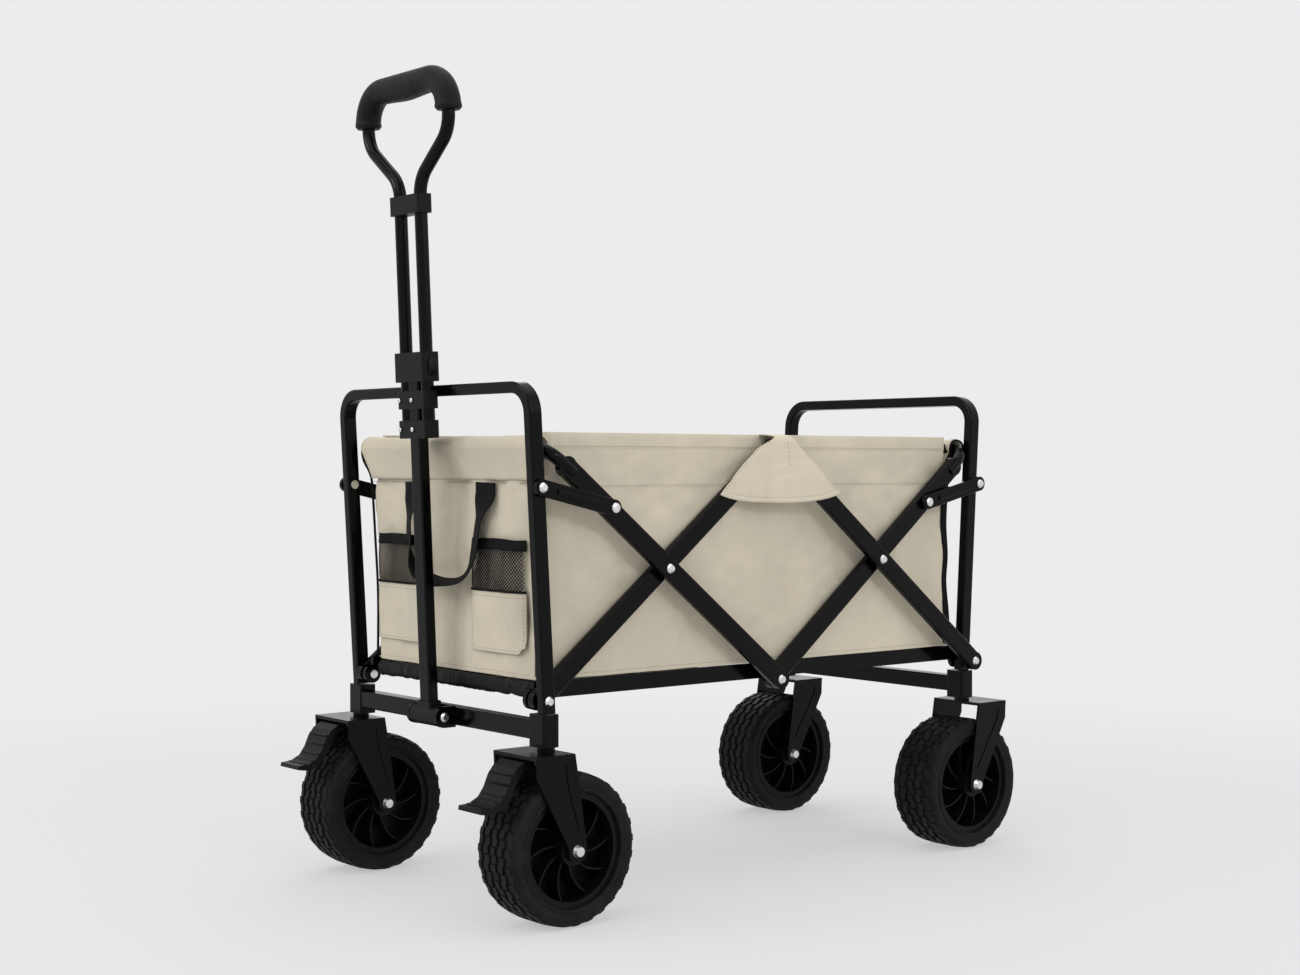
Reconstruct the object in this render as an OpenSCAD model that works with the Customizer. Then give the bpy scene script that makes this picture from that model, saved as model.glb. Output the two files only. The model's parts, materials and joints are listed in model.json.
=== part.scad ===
// Folding beach cart: two end frames joined by side scissors, a fabric tub hung
// from the scissor rims, four wide wheels and a telescoping pull handle.
// The handle end faces -Y, the width runs along X, the ground is z = 0.

/* [Frame] */
// distance between the front leg centre planes
track_front = 412; // [380:1:440]
// distance between the rear leg centre planes
track_rear = 368; // [340:1:396]
// leg pivots to the middle of the cart, along Y
half_length = 372; // [340:1:400]
// height of the lower scissor pivots
pivot_z = 260; // [240:1:280]
// height of the end frame tops
frame_top = 632; // [600:1:660]
// outward lean of the end frames
frame_lean = 3.3; // [0:0.1:6]
// leg tube width, across the cart
leg_w = 14; // [12:0.5:20]
// leg tube depth, along the cart
leg_d = 18; // [14:0.5:24]
// centre line radius of the end frame corners
corner_r = 31; // [24:1:60]

/* [Scissors] */
// angle of the scissor bars above the floor when the cart stands open
bar_angle = 38.5; // [34:0.5:42]
// face width of the scissor bars
bar_w = 25; // [20:0.5:30]
// thickness of the scissor bars
bar_t = 10; // [6:0.5:12]
// diameter of the rim crosspieces
rim_d = 16; // [12:0.5:20]
// bend radius of the rim corners
rim_bend = 30; // [25:1:45]
// pivot bolt diameter
bolt_d = 6; // [5:0.5:8]
// height of the stay pivots on the legs
stay_z = 508; // [480:1:530]
// distance from the rim crosspiece to the stay bolt on the bar
stay_reach = 116.3; // [90:0.1:140]

/* [Wheels] */
// wheel diameter
wheel_d = 180; // [160:1:200]
// tyre width
tyre_w = 74; // [60:1:80]
// rim diameter
rim_seat = 136; // [110:1:150]
// axle offset from the fork stem, toward the middle of the cart
trail = 15; // [5:1:30]
// fork width over its side plates
fork_w = 84; // [74:1:90]
// top of the fork plate
fork_top = 203; // [195:1:206]
// axle bolt diameter
axle_d = 8; // [6:0.5:12]

/* [Handle] */
// height of the handle pivot
handle_z = 226; // [220:1:240]
// distance of the handle pivot from the middle of the cart
handle_y = 398; // [392:1:410]
// forward lean of the handle
handle_lean = 2.5; // [0:0.1:6]
// handle rod diameter
rod_d = 16; // [12:0.5:20]
// distance between the two handle rods
rod_gap = 45; // [38:1:55]
// width of the grip loop, centre to centre
loop_w = 180; // [150:1:200]
// height of the grip centre line
grip_z = 997; // [900:1:1020]
// grip diameter
grip_d = 32; // [26:1:38]

/* [Tub] */
// fabric thickness
cloth = 2; // [1:0.5:4]
// outside width of the tub
tub_w = 367; // [340:1:368]
// bottom edge of the tub walls
tub_bottom = 281; // [275:1:290]
// top edge of the side walls
tub_top = 573; // [560:1:580]

/* [Output] */
// node to build

/* [Hidden] */
$fn = 48;

BLACK = [0.05, 0.05, 0.055];
RUBBER = [0.08, 0.08, 0.08];
PLASTIC = [0.1, 0.1, 0.1];
ZINC = [0.72, 0.73, 0.75];
FABRIC = [0.78, 0.74, 0.62];

lf = track_front / 2;
lr = track_rear / 2;
wheel_r = wheel_d / 2;
bar_len = half_length / cos(bar_angle);
rise = bar_len * sin(bar_angle);
mid_z = pivot_z + rise / 2;
high_z = pivot_z + rise;
outer_x = lf - leg_w / 2 + 1 + bar_t / 2;
inner_x = outer_x - bar_t - 3;
outer_face = outer_x + bar_t / 2;
inner_face = inner_x - bar_t / 2;
bolt_hole = bolt_d + 0.6;
head_d = 12;
head_t = 2.6;
sleeve_h = 38;
sleeve_top = 245;
stem_gap = 0.5;
rail_h = 20;
rail_t = 6;
rail_front_x = 179;
rail_rear_x = 171;
lap = 19;
floor_tube = 19;
tub_half = tub_w / 2;
sleeve_wall = rim_d / 2 + cloth + 0.5;
front_wall_y = -367;
rear_wall_y = 353;
tuck = 0.3;
rod_x = rod_gap / 2;
loop_x = loop_w / 2;
loop_r = 38;
swan_r = 40;
swan_a = 52;
swan_s = (loop_x - rod_x - 2 * swan_r * (1 - cos(swan_a))) / sin(swan_a);
swan_h = 2 * swan_r * sin(swan_a) + swan_s * cos(swan_a);
grip_end_z = 955;
swan_z = 952 - swan_h;
clamp_low_z = 567;
clamp_high_z = 603;
clamp_h = 22;
housing_z = 636;
housing_h = 36;
bracket_z = 840;
bracket_h = 23;
mast_w = 22;
mast_d = 14;
fork_t = 3;
shift_y = 16;
fork_front = -45;
fork_back = 11;

// ---------- helpers ----------

// Moves a part so that the middle of the whole cart stands on the origin.
module place() {
    translate([0, shift_y, 0])
        children();
}

// Plain cylinder along X from x0 to x1.
module rod_x_axis(d, x0, x1) {
    translate([x0, 0, 0])
        rotate([0, 90, 0])
            cylinder(h = x1 - x0, d = d);
}

// Bend of a round rod, a hair fatter than the straights that run into it.
module bend(radius, angle, d) {
    rotate_extrude(angle = angle)
        translate([radius, 0])
            circle(d = d + 0.04);
}

// 2D children drawn in Y and Z, extruded across X around x = 0.
module across(width) {
    rotate([90, 0, 90])
        linear_extrude(height = width, center = true)
            children();
}

module round_rect(a, b, r) {
    square([a - 2 * r, b], center = true);
    square([a, b - 2 * r], center = true);
    for (sx = [-1, 1])
        for (sy = [-1, 1])
            translate([sx * (a / 2 - r), sy * (b / 2 - r)])
                circle(r);
}

// Straight tube with a rounded rectangular section, standing up from the origin.
module post(a, b, h, r = 2.5) {
    linear_extrude(height = h)
        round_rect(a, b, r);
}

// Flat bar from the origin along +Y with rounded ends and holes at the given stations.
module flat_bar(length, width, thick, holes, edge = 2.5) {
    difference() {
        union() {
            rotate([-90, 0, 0])
                linear_extrude(height = length)
                    round_rect(thick, width, edge);
            for (y = [0, length])
                translate([0, y, 0])
                    rotate([0, 90, 0])
                        cylinder(h = thick, d = width, center = true);
        }
        for (y = holes)
            translate([0, y, 0])
                rod_x_axis(bolt_hole, -thick, thick);
    }
}

// Places a bar at a lower pivot, pointing up and toward dir (+1 is +Y).
module along_bar(x, y, dir) {
    translate([x, y, pivot_z])
        mirror([0, dir < 0 ? 1 : 0, 0])
            rotate([bar_angle, 0, 0])
                children();
}

// Pivot bolt on a mirrored pair: button head outside, nut inside.
module pivot_bolt(x_head, x_nut) {
    rod_x_axis(bolt_d, x_nut, x_head + 0.5);
    translate([x_head, 0, 0])
        rotate([0, 90, 0])
            cylinder(h = head_t, d1 = head_d, d2 = head_d - 4);
    rod_x_axis(head_d - 1, x_nut - 2.2, x_nut);
}

module both_sides() {
    children();
    mirror([1, 0, 0])
        children();
}

// ---------- end frames ----------

// Local frame of an end: origin at the leg pivots, leaning outward.
module end_place(end) {
    mirror([0, end > 0 ? 1 : 0, 0])
        translate([0, -half_length, pivot_z])
            rotate([frame_lean, 0, 0])
                children();
}

module hoop(lx) {
    top = (frame_top - pivot_z) / cos(frame_lean) - leg_w / 2;
    foot = (sleeve_top - pivot_z + 0.05) / cos(frame_lean) + leg_d / 2 * tan(frame_lean);
    difference() {
        union() {
            both_sides() {
                translate([lx, 0, foot])
                    post(leg_w, leg_d, top - corner_r - foot);
                translate([lx - corner_r, 0, top - corner_r])
                    rotate([90, 0, 0])
                        rotate_extrude(angle = 90)
                            translate([corner_r, 0])
                                round_rect(leg_w, leg_d, 2.5);
            }
            translate([-(lx - corner_r), 0, top])
                rotate([0, 90, 0])
                    post(leg_w, leg_d, 2 * (lx - corner_r));
        }
        rod_x_axis(bolt_hole, -lx - leg_w, lx + leg_w);
        translate([0, 0, (stay_z - pivot_z) / cos(frame_lean)])
            rod_x_axis(bolt_hole, -lx - leg_w, lx + leg_w);
    }
}

module crossbar(lx) {
    inner = lx - 19;
    translate([-inner, 0, 226 - pivot_z])
        rotate([0, 90, 0])
            post(22, 20, 2 * inner, 2);
    difference() {
        both_sides()
            translate([lx - 4, 0, sleeve_top - sleeve_h - pivot_z])
                post(30, 23, sleeve_h, 3);
        both_sides()
            translate([lx, 0, sleeve_top - sleeve_h - pivot_z - 1])
                cylinder(h = 32, d = 10.6);
    }
}

module front_frame() {
    color(BLACK) place()
        end_place(-1)
            hoop(lf);
}

module rear_frame() {
    color(BLACK) place()
        end_place(1)
            hoop(lr);
}

module front_crossbar() {
    color(BLACK) place()
        translate([0, -half_length, pivot_z])
            crossbar(lf);
}

module rear_crossbar() {
    color(BLACK) place()
        translate([0, half_length, pivot_z])
            crossbar(lr);
}

module front_bolts() {
    color(ZINC) place()
        both_sides() {
            translate([0, -half_length, pivot_z])
                pivot_bolt(lf + leg_w / 2, rail_front_x - rail_t / 2 - 1);
            end_place(-1)
                translate([0, 0, (stay_z - pivot_z) / cos(frame_lean)])
                    pivot_bolt(lf + leg_w / 2 + 8, lf - leg_w / 2);
        }
}

module rear_bolts() {
    color(ZINC) place()
        both_sides() {
            translate([0, half_length, pivot_z]) {
                pivot_bolt(outer_face, rail_rear_x - rail_t / 2 - 1);
                rod_x_axis(11, lr + leg_w / 2, outer_x - bar_t / 2 - 0.4);
            }
            end_place(1)
                translate([0, 0, (stay_z - pivot_z) / cos(frame_lean)]) {
                    pivot_bolt(inner_face + bar_t + 8, lr - leg_w / 2);
                    rod_x_axis(11, lr + leg_w / 2, inner_face + bar_t + 1);
                }
        }
}

// ---------- scissors ----------

module rim_hoop(cx) {
    flat = bar_len - 38;
    both_sides()
        along_bar(cx, 0, 1) {
            flat_bar(flat, bar_w, bar_t, [0, bar_len / 2]);
            translate([0, flat - 12, 0])
                rotate([-90, 0, 0])
                    cylinder(h = 50 - rim_bend + tuck, d = rim_d);
            translate([-rim_bend, bar_len - rim_bend, 0])
                bend(rim_bend, 90, rim_d);
        }
    translate([0, half_length, high_z])
        rod_x_axis(rim_d, -(cx - rim_bend + tuck), cx - rim_bend + tuck);
}

module front_rim() {
    color(BLACK) place()
        mirror([0, 1, 0])
            rim_hoop(outer_x);
}

module rear_rim() {
    color(BLACK) place()
        rim_hoop(inner_x);
}

module front_bar(side) {
    color(BLACK) place()
        along_bar(side * inner_x, -half_length, 1)
            flat_bar(bar_len, bar_w, bar_t, [0, bar_len / 2, bar_len]);
}

module rear_bar(side) {
    color(BLACK) place()
        along_bar(side * outer_x, half_length, -1)
            flat_bar(bar_len, bar_w, bar_t, [0, bar_len / 2, bar_len]);
}

module front_bar_left() {
    front_bar(-1);
}

module front_bar_right() {
    front_bar(1);
}

module rear_bar_left() {
    rear_bar(-1);
}

module rear_bar_right() {
    rear_bar(1);
}

module front_rim_bolts() {
    color(ZINC) place()
        both_sides()
            for (p = [[0, pivot_z], [-half_length / 2, mid_z]])
                translate([0, p[0], p[1]])
                    pivot_bolt(outer_face, inner_face);
}

module rear_bar_bolts() {
    color(ZINC) place()
        both_sides()
            for (p = [[0, high_z], [half_length / 2, mid_z]])
                translate([0, p[0], p[1]])
                    pivot_bolt(outer_face, inner_face);
}

// Stay from the leg to the rim bar, with its boss and bolt at the bar end.
module stay(end, side) {
    leg_y = half_length + (stay_z - pivot_z) * tan(frame_lean);
    bar_y = half_length - stay_reach * cos(bar_angle);
    bar_z = high_z - stay_reach * sin(bar_angle);
    length = norm([leg_y - bar_y, stay_z - bar_z]);
    tilt = atan2(stay_z - bar_z, leg_y - bar_y);
    x = end < 0 ? lf + leg_w / 2 + 4.5 : inner_face + bar_t + 4.5;
    face = end < 0 ? outer_face + 0.4 : inner_face + bar_t + 0.4;
    color(BLACK) place()
        mirror([side < 0 ? 1 : 0, 0, 0])
            mirror([0, end < 0 ? 1 : 0, 0])
                translate([0, leg_y, stay_z])
                    rotate([tilt, 0, 0])
                        mirror([0, 1, 0]) {
                            translate([x, 0, 0])
                                flat_bar(length, 20, 5, [0], 1.2);
                            translate([x, 22, 0])
                                rotate([-90, 0, 0])
                                    post(8.4, 7, length - 44, 2);
                            translate([0, length, 0]) {
                                rod_x_axis(15, face, x);
                                rod_x_axis(head_d - 2, x, x + 5);
                            }
                        }
}

module front_stay_left() {
    stay(-1, -1);
}

module front_stay_right() {
    stay(-1, 1);
}

module rear_stay_left() {
    stay(1, -1);
}

module rear_stay_right() {
    stay(1, 1);
}

// ---------- floor ----------

module floor_half(rail_x) {
    difference() {
        union() {
            both_sides()
                translate([rail_x, 0, 0]) {
                    translate([-rail_t / 2, -half_length, 0])
                        cube([rail_t, half_length + lap, rail_h]);
                    translate([0, -half_length, 0])
                        rod_x_axis(24, -rail_t / 2, rail_t / 2);
                }
            for (y = [-half_length + 18, -half_length / 2 - 30, -110])
                translate([0, y, rail_h / 2])
                    rod_x_axis(floor_tube, -rail_x, rail_x);
        }
        translate([0, -half_length, 0])
            rod_x_axis(bolt_hole, -200, 200);
    }
}

module front_floor() {
    color(BLACK) place()
        translate([0, 0, pivot_z])
            floor_half(rail_front_x);
}

module rear_floor() {
    color(BLACK) place()
        mirror([0, 1, 0])
            translate([0, 0, pivot_z])
                floor_half(rail_rear_x);
}

module mat(far) {
    translate([-178, -far, pivot_z + rail_h + 0.5])
        cube([356, far - 3, 9]);
}

module front_mat() {
    color(FABRIC) place()
        mat(362);
}

module rear_mat() {
    color(FABRIC) place()
        mirror([0, 1, 0])
            mat(348);
}

// ---------- tub ----------

module tub_side(side) {
    color(FABRIC) place()
        translate([side * (tub_half - cloth / 2), 0, 0])
            across(cloth)
                polygon([[-364, tub_bottom], [350, tub_bottom], [351, 545],
                    [351, tub_top], [-352, tub_top], [-357, 545]]);
}

module tub_side_left() {
    tub_side(-1);
}

module tub_side_right() {
    tub_side(1);
}

// End wall with the sleeve that carries the rim crosspiece.
module end_wall(wall_y, dir, sleeve_half) {
    translate([-(tub_half - cloth), wall_y - cloth / 2, tub_bottom])
        cube([2 * (tub_half - cloth), cloth, 525 - tub_bottom]);
    difference() {
        hull() {
            translate([-sleeve_half, wall_y - cloth / 2, 512])
                cube([2 * sleeve_half, cloth, 4]);
            translate([0, dir * half_length, high_z])
                rod_x_axis(2 * sleeve_wall, -sleeve_half, sleeve_half);
        }
        translate([0, dir * half_length, high_z])
            rod_x_axis(rim_d + 1, -sleeve_half - 1, sleeve_half + 1);
    }
}

module tub_front() {
    color(FABRIC) place()
        end_wall(front_wall_y, -1, 165);
}

module tub_rear() {
    color(FABRIC) place()
        end_wall(rear_wall_y, 1, 155);
}

module flap(side) {
    out = outer_face + 4;
    color(FABRIC) place()
        mirror([side < 0 ? 1 : 0, 0, 0]) {
            translate([out + cloth / 2, 0, 0])
                across(cloth)
                    polygon([[-22, tub_top], [22, tub_top], [94, 497], [62, 490],
                        [0, 486], [-62, 490], [-94, 497]]);
            translate([tub_half, -22, tub_top - cloth])
                cube([out - tub_half + 0.5, 44, cloth]);
        }
}

module flap_left() {
    flap(-1);
}

module flap_right() {
    flap(1);
}

module pocket(side) {
    y = front_wall_y - cloth / 2;
    color(FABRIC) place()
        translate([side * 107 - 58, y - 8.2, 308])
            difference() {
                cube([116, 8, 137]);
                translate([1.5, 1.5, 3])
                    cube([113, 7, 140]);
            }
}

module pocket_left() {
    pocket(-1);
}

module pocket_right() {
    pocket(1);
}

module carry_loop() {
    y = front_wall_y - cloth / 2 - 10.4;
    color(BLACK) place() {
        both_sides() {
            translate([62, y, 512])
                rotate([0, 14, 0])
                    translate([0, 0, -92])
                        cube([30, 1.6, 92]);
            translate([62, y, 493])
                cube([32, 10.2, 17]);
        }
        translate([0, y, 396])
            rotate([90, 0, 0])
                translate([0, 0, -1.6])
                    linear_extrude(height = 1.6)
                        difference() {
                            circle(r = 70);
                            circle(r = 44);
                            translate([-100, 26])
                                square([200, 100]);
                        }
    }
}

// ---------- casters and wheels ----------

// Fork around its stem axis; the fork plate reaches toward -Y.
module fork_shape() {
    axle = [trail, wheel_r];
    translate([-fork_w / 2, fork_front, fork_top - 4])
        cube([fork_w, fork_back - fork_front, 4]);
    both_sides()
        difference() {
            translate([fork_w / 2 - fork_t / 2, 0, 0])
                union() {
                    across(fork_t)
                        polygon([[fork_front, fork_top], [fork_front + 1, fork_top - 24],
                            [trail - 12.6, wheel_r + 3], [trail + 12.9, wheel_r + 2],
                            [fork_back + 5, fork_top - 30], [fork_back, fork_top]]);
                    translate([0, axle[0], axle[1]])
                        rod_x_axis(26, -fork_t / 2, fork_t / 2);
                }
            translate([fork_w / 2, 0, 0])
                across(2)
                    polygon([[fork_front + 15, fork_top - 12], [fork_back - 13, fork_top - 12],
                        [fork_back - 9, fork_top - 40], [trail + 2, wheel_r + 24],
                        [trail - 2, wheel_r + 24], [fork_front + 17, fork_top - 24]]);
            translate([0, axle[0], axle[1]])
                rod_x_axis(axle_d + 0.4, 0, 60);
        }
    translate([0, 0, fork_top - 1])
        cylinder(h = sleeve_top - sleeve_h - fork_top + 1 - stem_gap, d = 21);
    translate([0, 0, fork_top - 1])
        cylinder(h = 32, d = 10);
}

module axle_shape() {
    translate([0, trail, wheel_r]) {
        rod_x_axis(axle_d, -fork_w / 2 - 1, fork_w / 2 + 1);
        both_sides()
            translate([fork_w / 2, 0, 0])
                rotate([0, 90, 0])
                    cylinder(h = 5, d1 = 15, d2 = 11);
    }
}

// Curved rib from the hub to the rim, standing on the web.
module rib() {
    p0 = [16, 0];
    p1 = [60 * cos(26), 60 * sin(26)];
    radius = 52;
    chord = norm(p1 - p0);
    mid = (p0 + p1) / 2;
    side = [p0[1] - p1[1], p1[0] - p0[0]] / chord;
    centre = mid + side * sqrt(radius * radius - chord * chord / 4);
    translate([centre[0], centre[1], -24])
        rotate([0, 0, atan2(p0[1] - centre[1], p0[0] - centre[0])])
            rotate_extrude(angle = 2 * asin(chord / 2 / radius))
                translate([radius - 1, 0])
                    square([2, 48]);
}

// Rim with a deep dish on both sides, a hub and curved ribs.
module wheel_shape() {
    seat = rim_seat / 2;
    translate([0, trail, wheel_r])
        rotate([0, 90, 0]) {
            rotate_extrude() {
                translate([seat - 8, -31])
                    square([8, 62]);
                translate([axle_d / 2 + 0.3, -34])
                    square([13.5, 68]);
                translate([axle_d / 2 + 8, -2])
                    square([seat - 15, 4]);
            }
            for (a = [0:36:324])
                rotate([0, 0, a])
                    rib();
        }
}

module tyre_shape() {
    r = wheel_r;
    w = tyre_w / 2;
    seat = rim_seat / 2;
    translate([0, trail, r])
        rotate([0, 90, 0])
            rotate_extrude()
                difference() {
                    polygon([[seat, -31], [seat + 2, -w], [seat + 9, -w], [r - 5, -w + 1.5],
                        [r - 1.5, -w + 6], [r, -w + 14], [r, w - 14], [r - 1.5, w - 6],
                        [r - 5, w - 1.5], [seat + 9, w], [seat + 2, w], [seat, 31]]);
                    for (x = [-21, -7, 7, 21])
                        translate([r - 2.6, x - 1.2])
                            square([5, 2.4]);
                }
}

module brake_shape() {
    translate([0, -38, 192])
        rod_x_axis(9, -24, 24);
    across(46)
        polygon([[-35, 196], [-48, 196], [-58, 190], [-66, 180], [-72, 166], [-80, 155],
            [-92, 149], [-106, 148], [-107, 143], [-94, 141], [-80, 144], [-70, 152],
            [-62, 165], [-56, 177], [-48, 186], [-38, 188]]);
    for (p = [[-64, 183, 50], [-69.5, 172, 62], [-76, 160, 50], [-85, 152, 28], [-95, 148.6, 8]])
        translate([0, p[0], p[1]])
            rotate([-p[2], 0, 0])
                translate([-21, -1.2, -1.2])
                    cube([42, 2.4, 2.4]);
}

module at_front(side) {
    translate([side * lf, -half_length, 0])
        children();
}

module at_rear(side) {
    mirror([0, 1, 0])
        translate([side * lr, -half_length, 0])
            children();
}

module front_fork_left() {
    color(BLACK) place()
        at_front(-1)
            fork_shape();
}

module front_fork_right() {
    color(BLACK) place()
        at_front(1)
            fork_shape();
}

module rear_fork_left() {
    color(BLACK) place()
        at_rear(-1)
            fork_shape();
}

module rear_fork_right() {
    color(BLACK) place()
        at_rear(1)
            fork_shape();
}

module front_axle_left() {
    color(ZINC) place()
        at_front(-1)
            axle_shape();
}

module front_axle_right() {
    color(ZINC) place()
        at_front(1)
            axle_shape();
}

module rear_axle_left() {
    color(ZINC) place()
        at_rear(-1)
            axle_shape();
}

module rear_axle_right() {
    color(ZINC) place()
        at_rear(1)
            axle_shape();
}

module front_wheel_left() {
    color(PLASTIC) place()
        at_front(-1)
            wheel_shape();
}

module front_wheel_right() {
    color(PLASTIC) place()
        at_front(1)
            wheel_shape();
}

module rear_wheel_left() {
    color(PLASTIC) place()
        at_rear(-1)
            wheel_shape();
}

module rear_wheel_right() {
    color(PLASTIC) place()
        at_rear(1)
            wheel_shape();
}

module front_tyre_left() {
    color(RUBBER) place()
        at_front(-1)
            tyre_shape();
}

module front_tyre_right() {
    color(RUBBER) place()
        at_front(1)
            tyre_shape();
}

module rear_tyre_left() {
    color(RUBBER) place()
        at_rear(-1)
            tyre_shape();
}

module rear_tyre_right() {
    color(RUBBER) place()
        at_rear(1)
            tyre_shape();
}

module brake_pedal_left() {
    color(PLASTIC) place()
        at_front(-1)
            brake_shape();
}

module brake_pedal_right() {
    color(PLASTIC) place()
        at_front(1)
            brake_shape();
}

// ---------- handle ----------

// Local frame of the handle: origin at the pivot, Z along the mast.
module handle_place() {
    translate([0, -handle_y, handle_z])
        rotate([handle_lean, 0, 0])
            children();
}

module handle_yoke() {
    color(BLACK) place()
        translate([0, -handle_y, handle_z])
            difference() {
                union() {
                    both_sides()
                        translate([30.5, 0, 0])
                            union() {
                                rod_x_axis(26, -3, 3);
                                translate([-3, 0, -13])
                                    cube([6, handle_y - half_length - 10, 26]);
                            }
                    translate([-33.5, handle_y - half_length - 12, -13])
                        cube([67, 2, 26]);
                }
                rod_x_axis(8.4, -40, 40);
            }
}

module handle_barrel() {
    color(PLASTIC) place()
        handle_place()
            difference() {
                union() {
                    rod_x_axis(25, -27, 27);
                    translate([0, 0, 8])
                        post(mast_w + 6, mast_d + 4, 10, 2);
                }
                rod_x_axis(8.4, -40, 40);
                translate([0, 0, 10])
                    post(mast_w + 0.1, mast_d + 0.1, 20);
            }
}

module handle_pin() {
    color(ZINC) place()
        translate([0, -handle_y, handle_z]) {
            rod_x_axis(8, -34, 34);
            both_sides()
                translate([33.5, 0, 0])
                    rotate([0, 90, 0])
                        cylinder(h = 2.8, d1 = 12, d2 = 8);
        }
}

module handle_tube() {
    top = housing_z + housing_h - 6 - handle_z;
    color(BLACK) place()
        handle_place()
            translate([0, 0, 10])
                post(mast_w, mast_d, top - 10);
}

// Block around the mast and the two rods.
module guide_block(w, d, h, z, rod_bore, mast_bore) {
    handle_place()
        translate([0, 0, z - handle_z])
            difference() {
                post(w, d, h, 5);
                for (x = [-rod_x, rod_x])
                    translate([x, 0, -1])
                        cylinder(h = h + 2, d = rod_bore);
                translate([0, 0, -1])
                    post(mast_w + mast_bore, mast_d + mast_bore, h + 2);
            }
}

module screws(w, d, z) {
    handle_place()
        for (x = [-rod_x - 3, 2])
            translate([x, -d / 2 - 1, z - handle_z])
                rotate([-90, 0, 0])
                    cylinder(h = 2, d1 = 4, d2 = 6);
}

module handle_housing() {
    color(PLASTIC) place()
        difference() {
            guide_block(68, 24, housing_h, housing_z, rod_d + 0.8, 0.1);
            handle_place()
                translate([0, 0, housing_z + housing_h / 2 - handle_z])
                    translate([31, 0, 0])
                        rotate([0, 90, 0])
                            post(22.6, 12.6, 4, 6);
        }
}

module upper_clamp() {
    color(PLASTIC) place() {
        guide_block(64, 20.5, clamp_h, clamp_high_z, rod_d + 0.8, 0.1);
        screws(64, 20.5, clamp_high_z + clamp_h / 2);
    }
}

module lower_clamp() {
    color(PLASTIC) place() {
        guide_block(64, 20.5, clamp_h, clamp_low_z, rod_d, 0.8);
        screws(64, 20.5, clamp_low_z + clamp_h / 2);
    }
}

module lock_button() {
    color(PLASTIC) place()
        handle_place()
            translate([33, 0, housing_z + housing_h / 2 - handle_z])
                rotate([0, 90, 0])
                    intersection() {
                        post(22, 12, 8, 5.8);
                        translate([0, 0, -16.2])
                            sphere(r = 21.6);
                    }
}

// One side of the bent rod; the straights run a little into the bends.
module loop_side() {
    z0 = clamp_low_z - handle_z;
    z1 = swan_z - handle_z;
    z2 = z1 + swan_h;
    z3 = grip_z - loop_r - handle_z;
    translate([rod_x, 0, z0])
        cylinder(h = z1 - z0 + tuck, d = rod_d);
    translate([rod_x + swan_r, 0, z1])
        rotate([90, 0, 0])
            rotate([0, 0, 180 - swan_a])
                bend(swan_r, swan_a, rod_d);
    translate([rod_x + swan_r * (1 - cos(swan_a)), 0, z1 + swan_r * sin(swan_a)])
        rotate([0, swan_a, 0])
            translate([0, 0, -tuck])
                cylinder(h = swan_s + 2 * tuck, d = rod_d);
    translate([loop_x - swan_r, 0, z2])
        rotate([90, 0, 0])
            rotate([0, 0, -swan_a])
                bend(swan_r, swan_a, rod_d);
    translate([loop_x, 0, z2 - tuck])
        cylinder(h = z3 - z2 + 2 * tuck, d = rod_d);
    translate([loop_x - loop_r, 0, z3])
        rotate([90, 0, 0])
            bend(loop_r, 90, rod_d);
}

module handle_loop() {
    color(BLACK) place()
        handle_place() {
            both_sides()
                loop_side();
            translate([0, 0, grip_z - handle_z])
                rod_x_axis(rod_d, -(loop_x - loop_r + tuck), loop_x - loop_r + tuck);
        }
}

module handle_bracket() {
    color(PLASTIC) place()
        handle_place()
            translate([0, 0, bracket_z - handle_z])
                difference() {
                    post(66, 21, bracket_h, 4);
                    for (x = [-rod_x, rod_x])
                        translate([x, 0, -1])
                            cylinder(h = bracket_h + 2, d = rod_d);
                }
}

module grip_solid(d, z_end, extra) {
    z3 = grip_z - loop_r - handle_z;
    both_sides() {
        translate([loop_x, 0, z_end - handle_z - extra])
            cylinder(h = grip_z - loop_r - z_end + extra, d = d);
        translate([loop_x - loop_r, 0, z3])
            rotate([90, 0, 0])
                rotate_extrude(angle = 90)
                    translate([loop_r, 0])
                        circle(d = d);
    }
    translate([0, 0, grip_z - handle_z])
        rod_x_axis(d, -(loop_x - loop_r), loop_x - loop_r);
}

module handle_grip() {
    color(RUBBER) place()
        handle_place()
            difference() {
                grip_solid(grip_d, grip_end_z, 0);
                grip_solid(rod_d + 0.1, grip_end_z, 1);
            }
}

// ---------- output ----------

front_frame();
front_crossbar();
handle_yoke();
front_bolts();
front_bar_left();
front_bar_right();
front_rim();
front_rim_bolts();
rear_rim();
rear_bar_left();
rear_bar_right();
rear_bar_bolts();
rear_frame();
rear_crossbar();
rear_bolts();
front_stay_left();
front_stay_right();
rear_stay_left();
rear_stay_right();
front_floor();
rear_floor();
front_mat();
rear_mat();
tub_side_left();
tub_side_right();
tub_front();
tub_rear();
flap_left();
flap_right();
pocket_left();
pocket_right();
carry_loop();
front_fork_left();
front_fork_right();
rear_fork_left();
rear_fork_right();
front_axle_left();
front_axle_right();
rear_axle_left();
rear_axle_right();
front_wheel_left();
front_wheel_right();
rear_wheel_left();
rear_wheel_right();
front_tyre_left();
front_tyre_right();
rear_tyre_left();
rear_tyre_right();
brake_pedal_left();
brake_pedal_right();
handle_tube();
handle_barrel();
handle_pin();
handle_housing();
upper_clamp();
handle_loop();
handle_bracket();
lower_clamp();
handle_grip();
lock_button();
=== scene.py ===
"""Looks of the folding beach cart: fabric tub, tyres, grip, finishes and a plain stage."""

import json
import math

import bpy
import numpy as np
from bpy.props import FloatProperty, FloatVectorProperty, IntProperty, PointerProperty
from mathutils import Matrix, Vector


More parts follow.
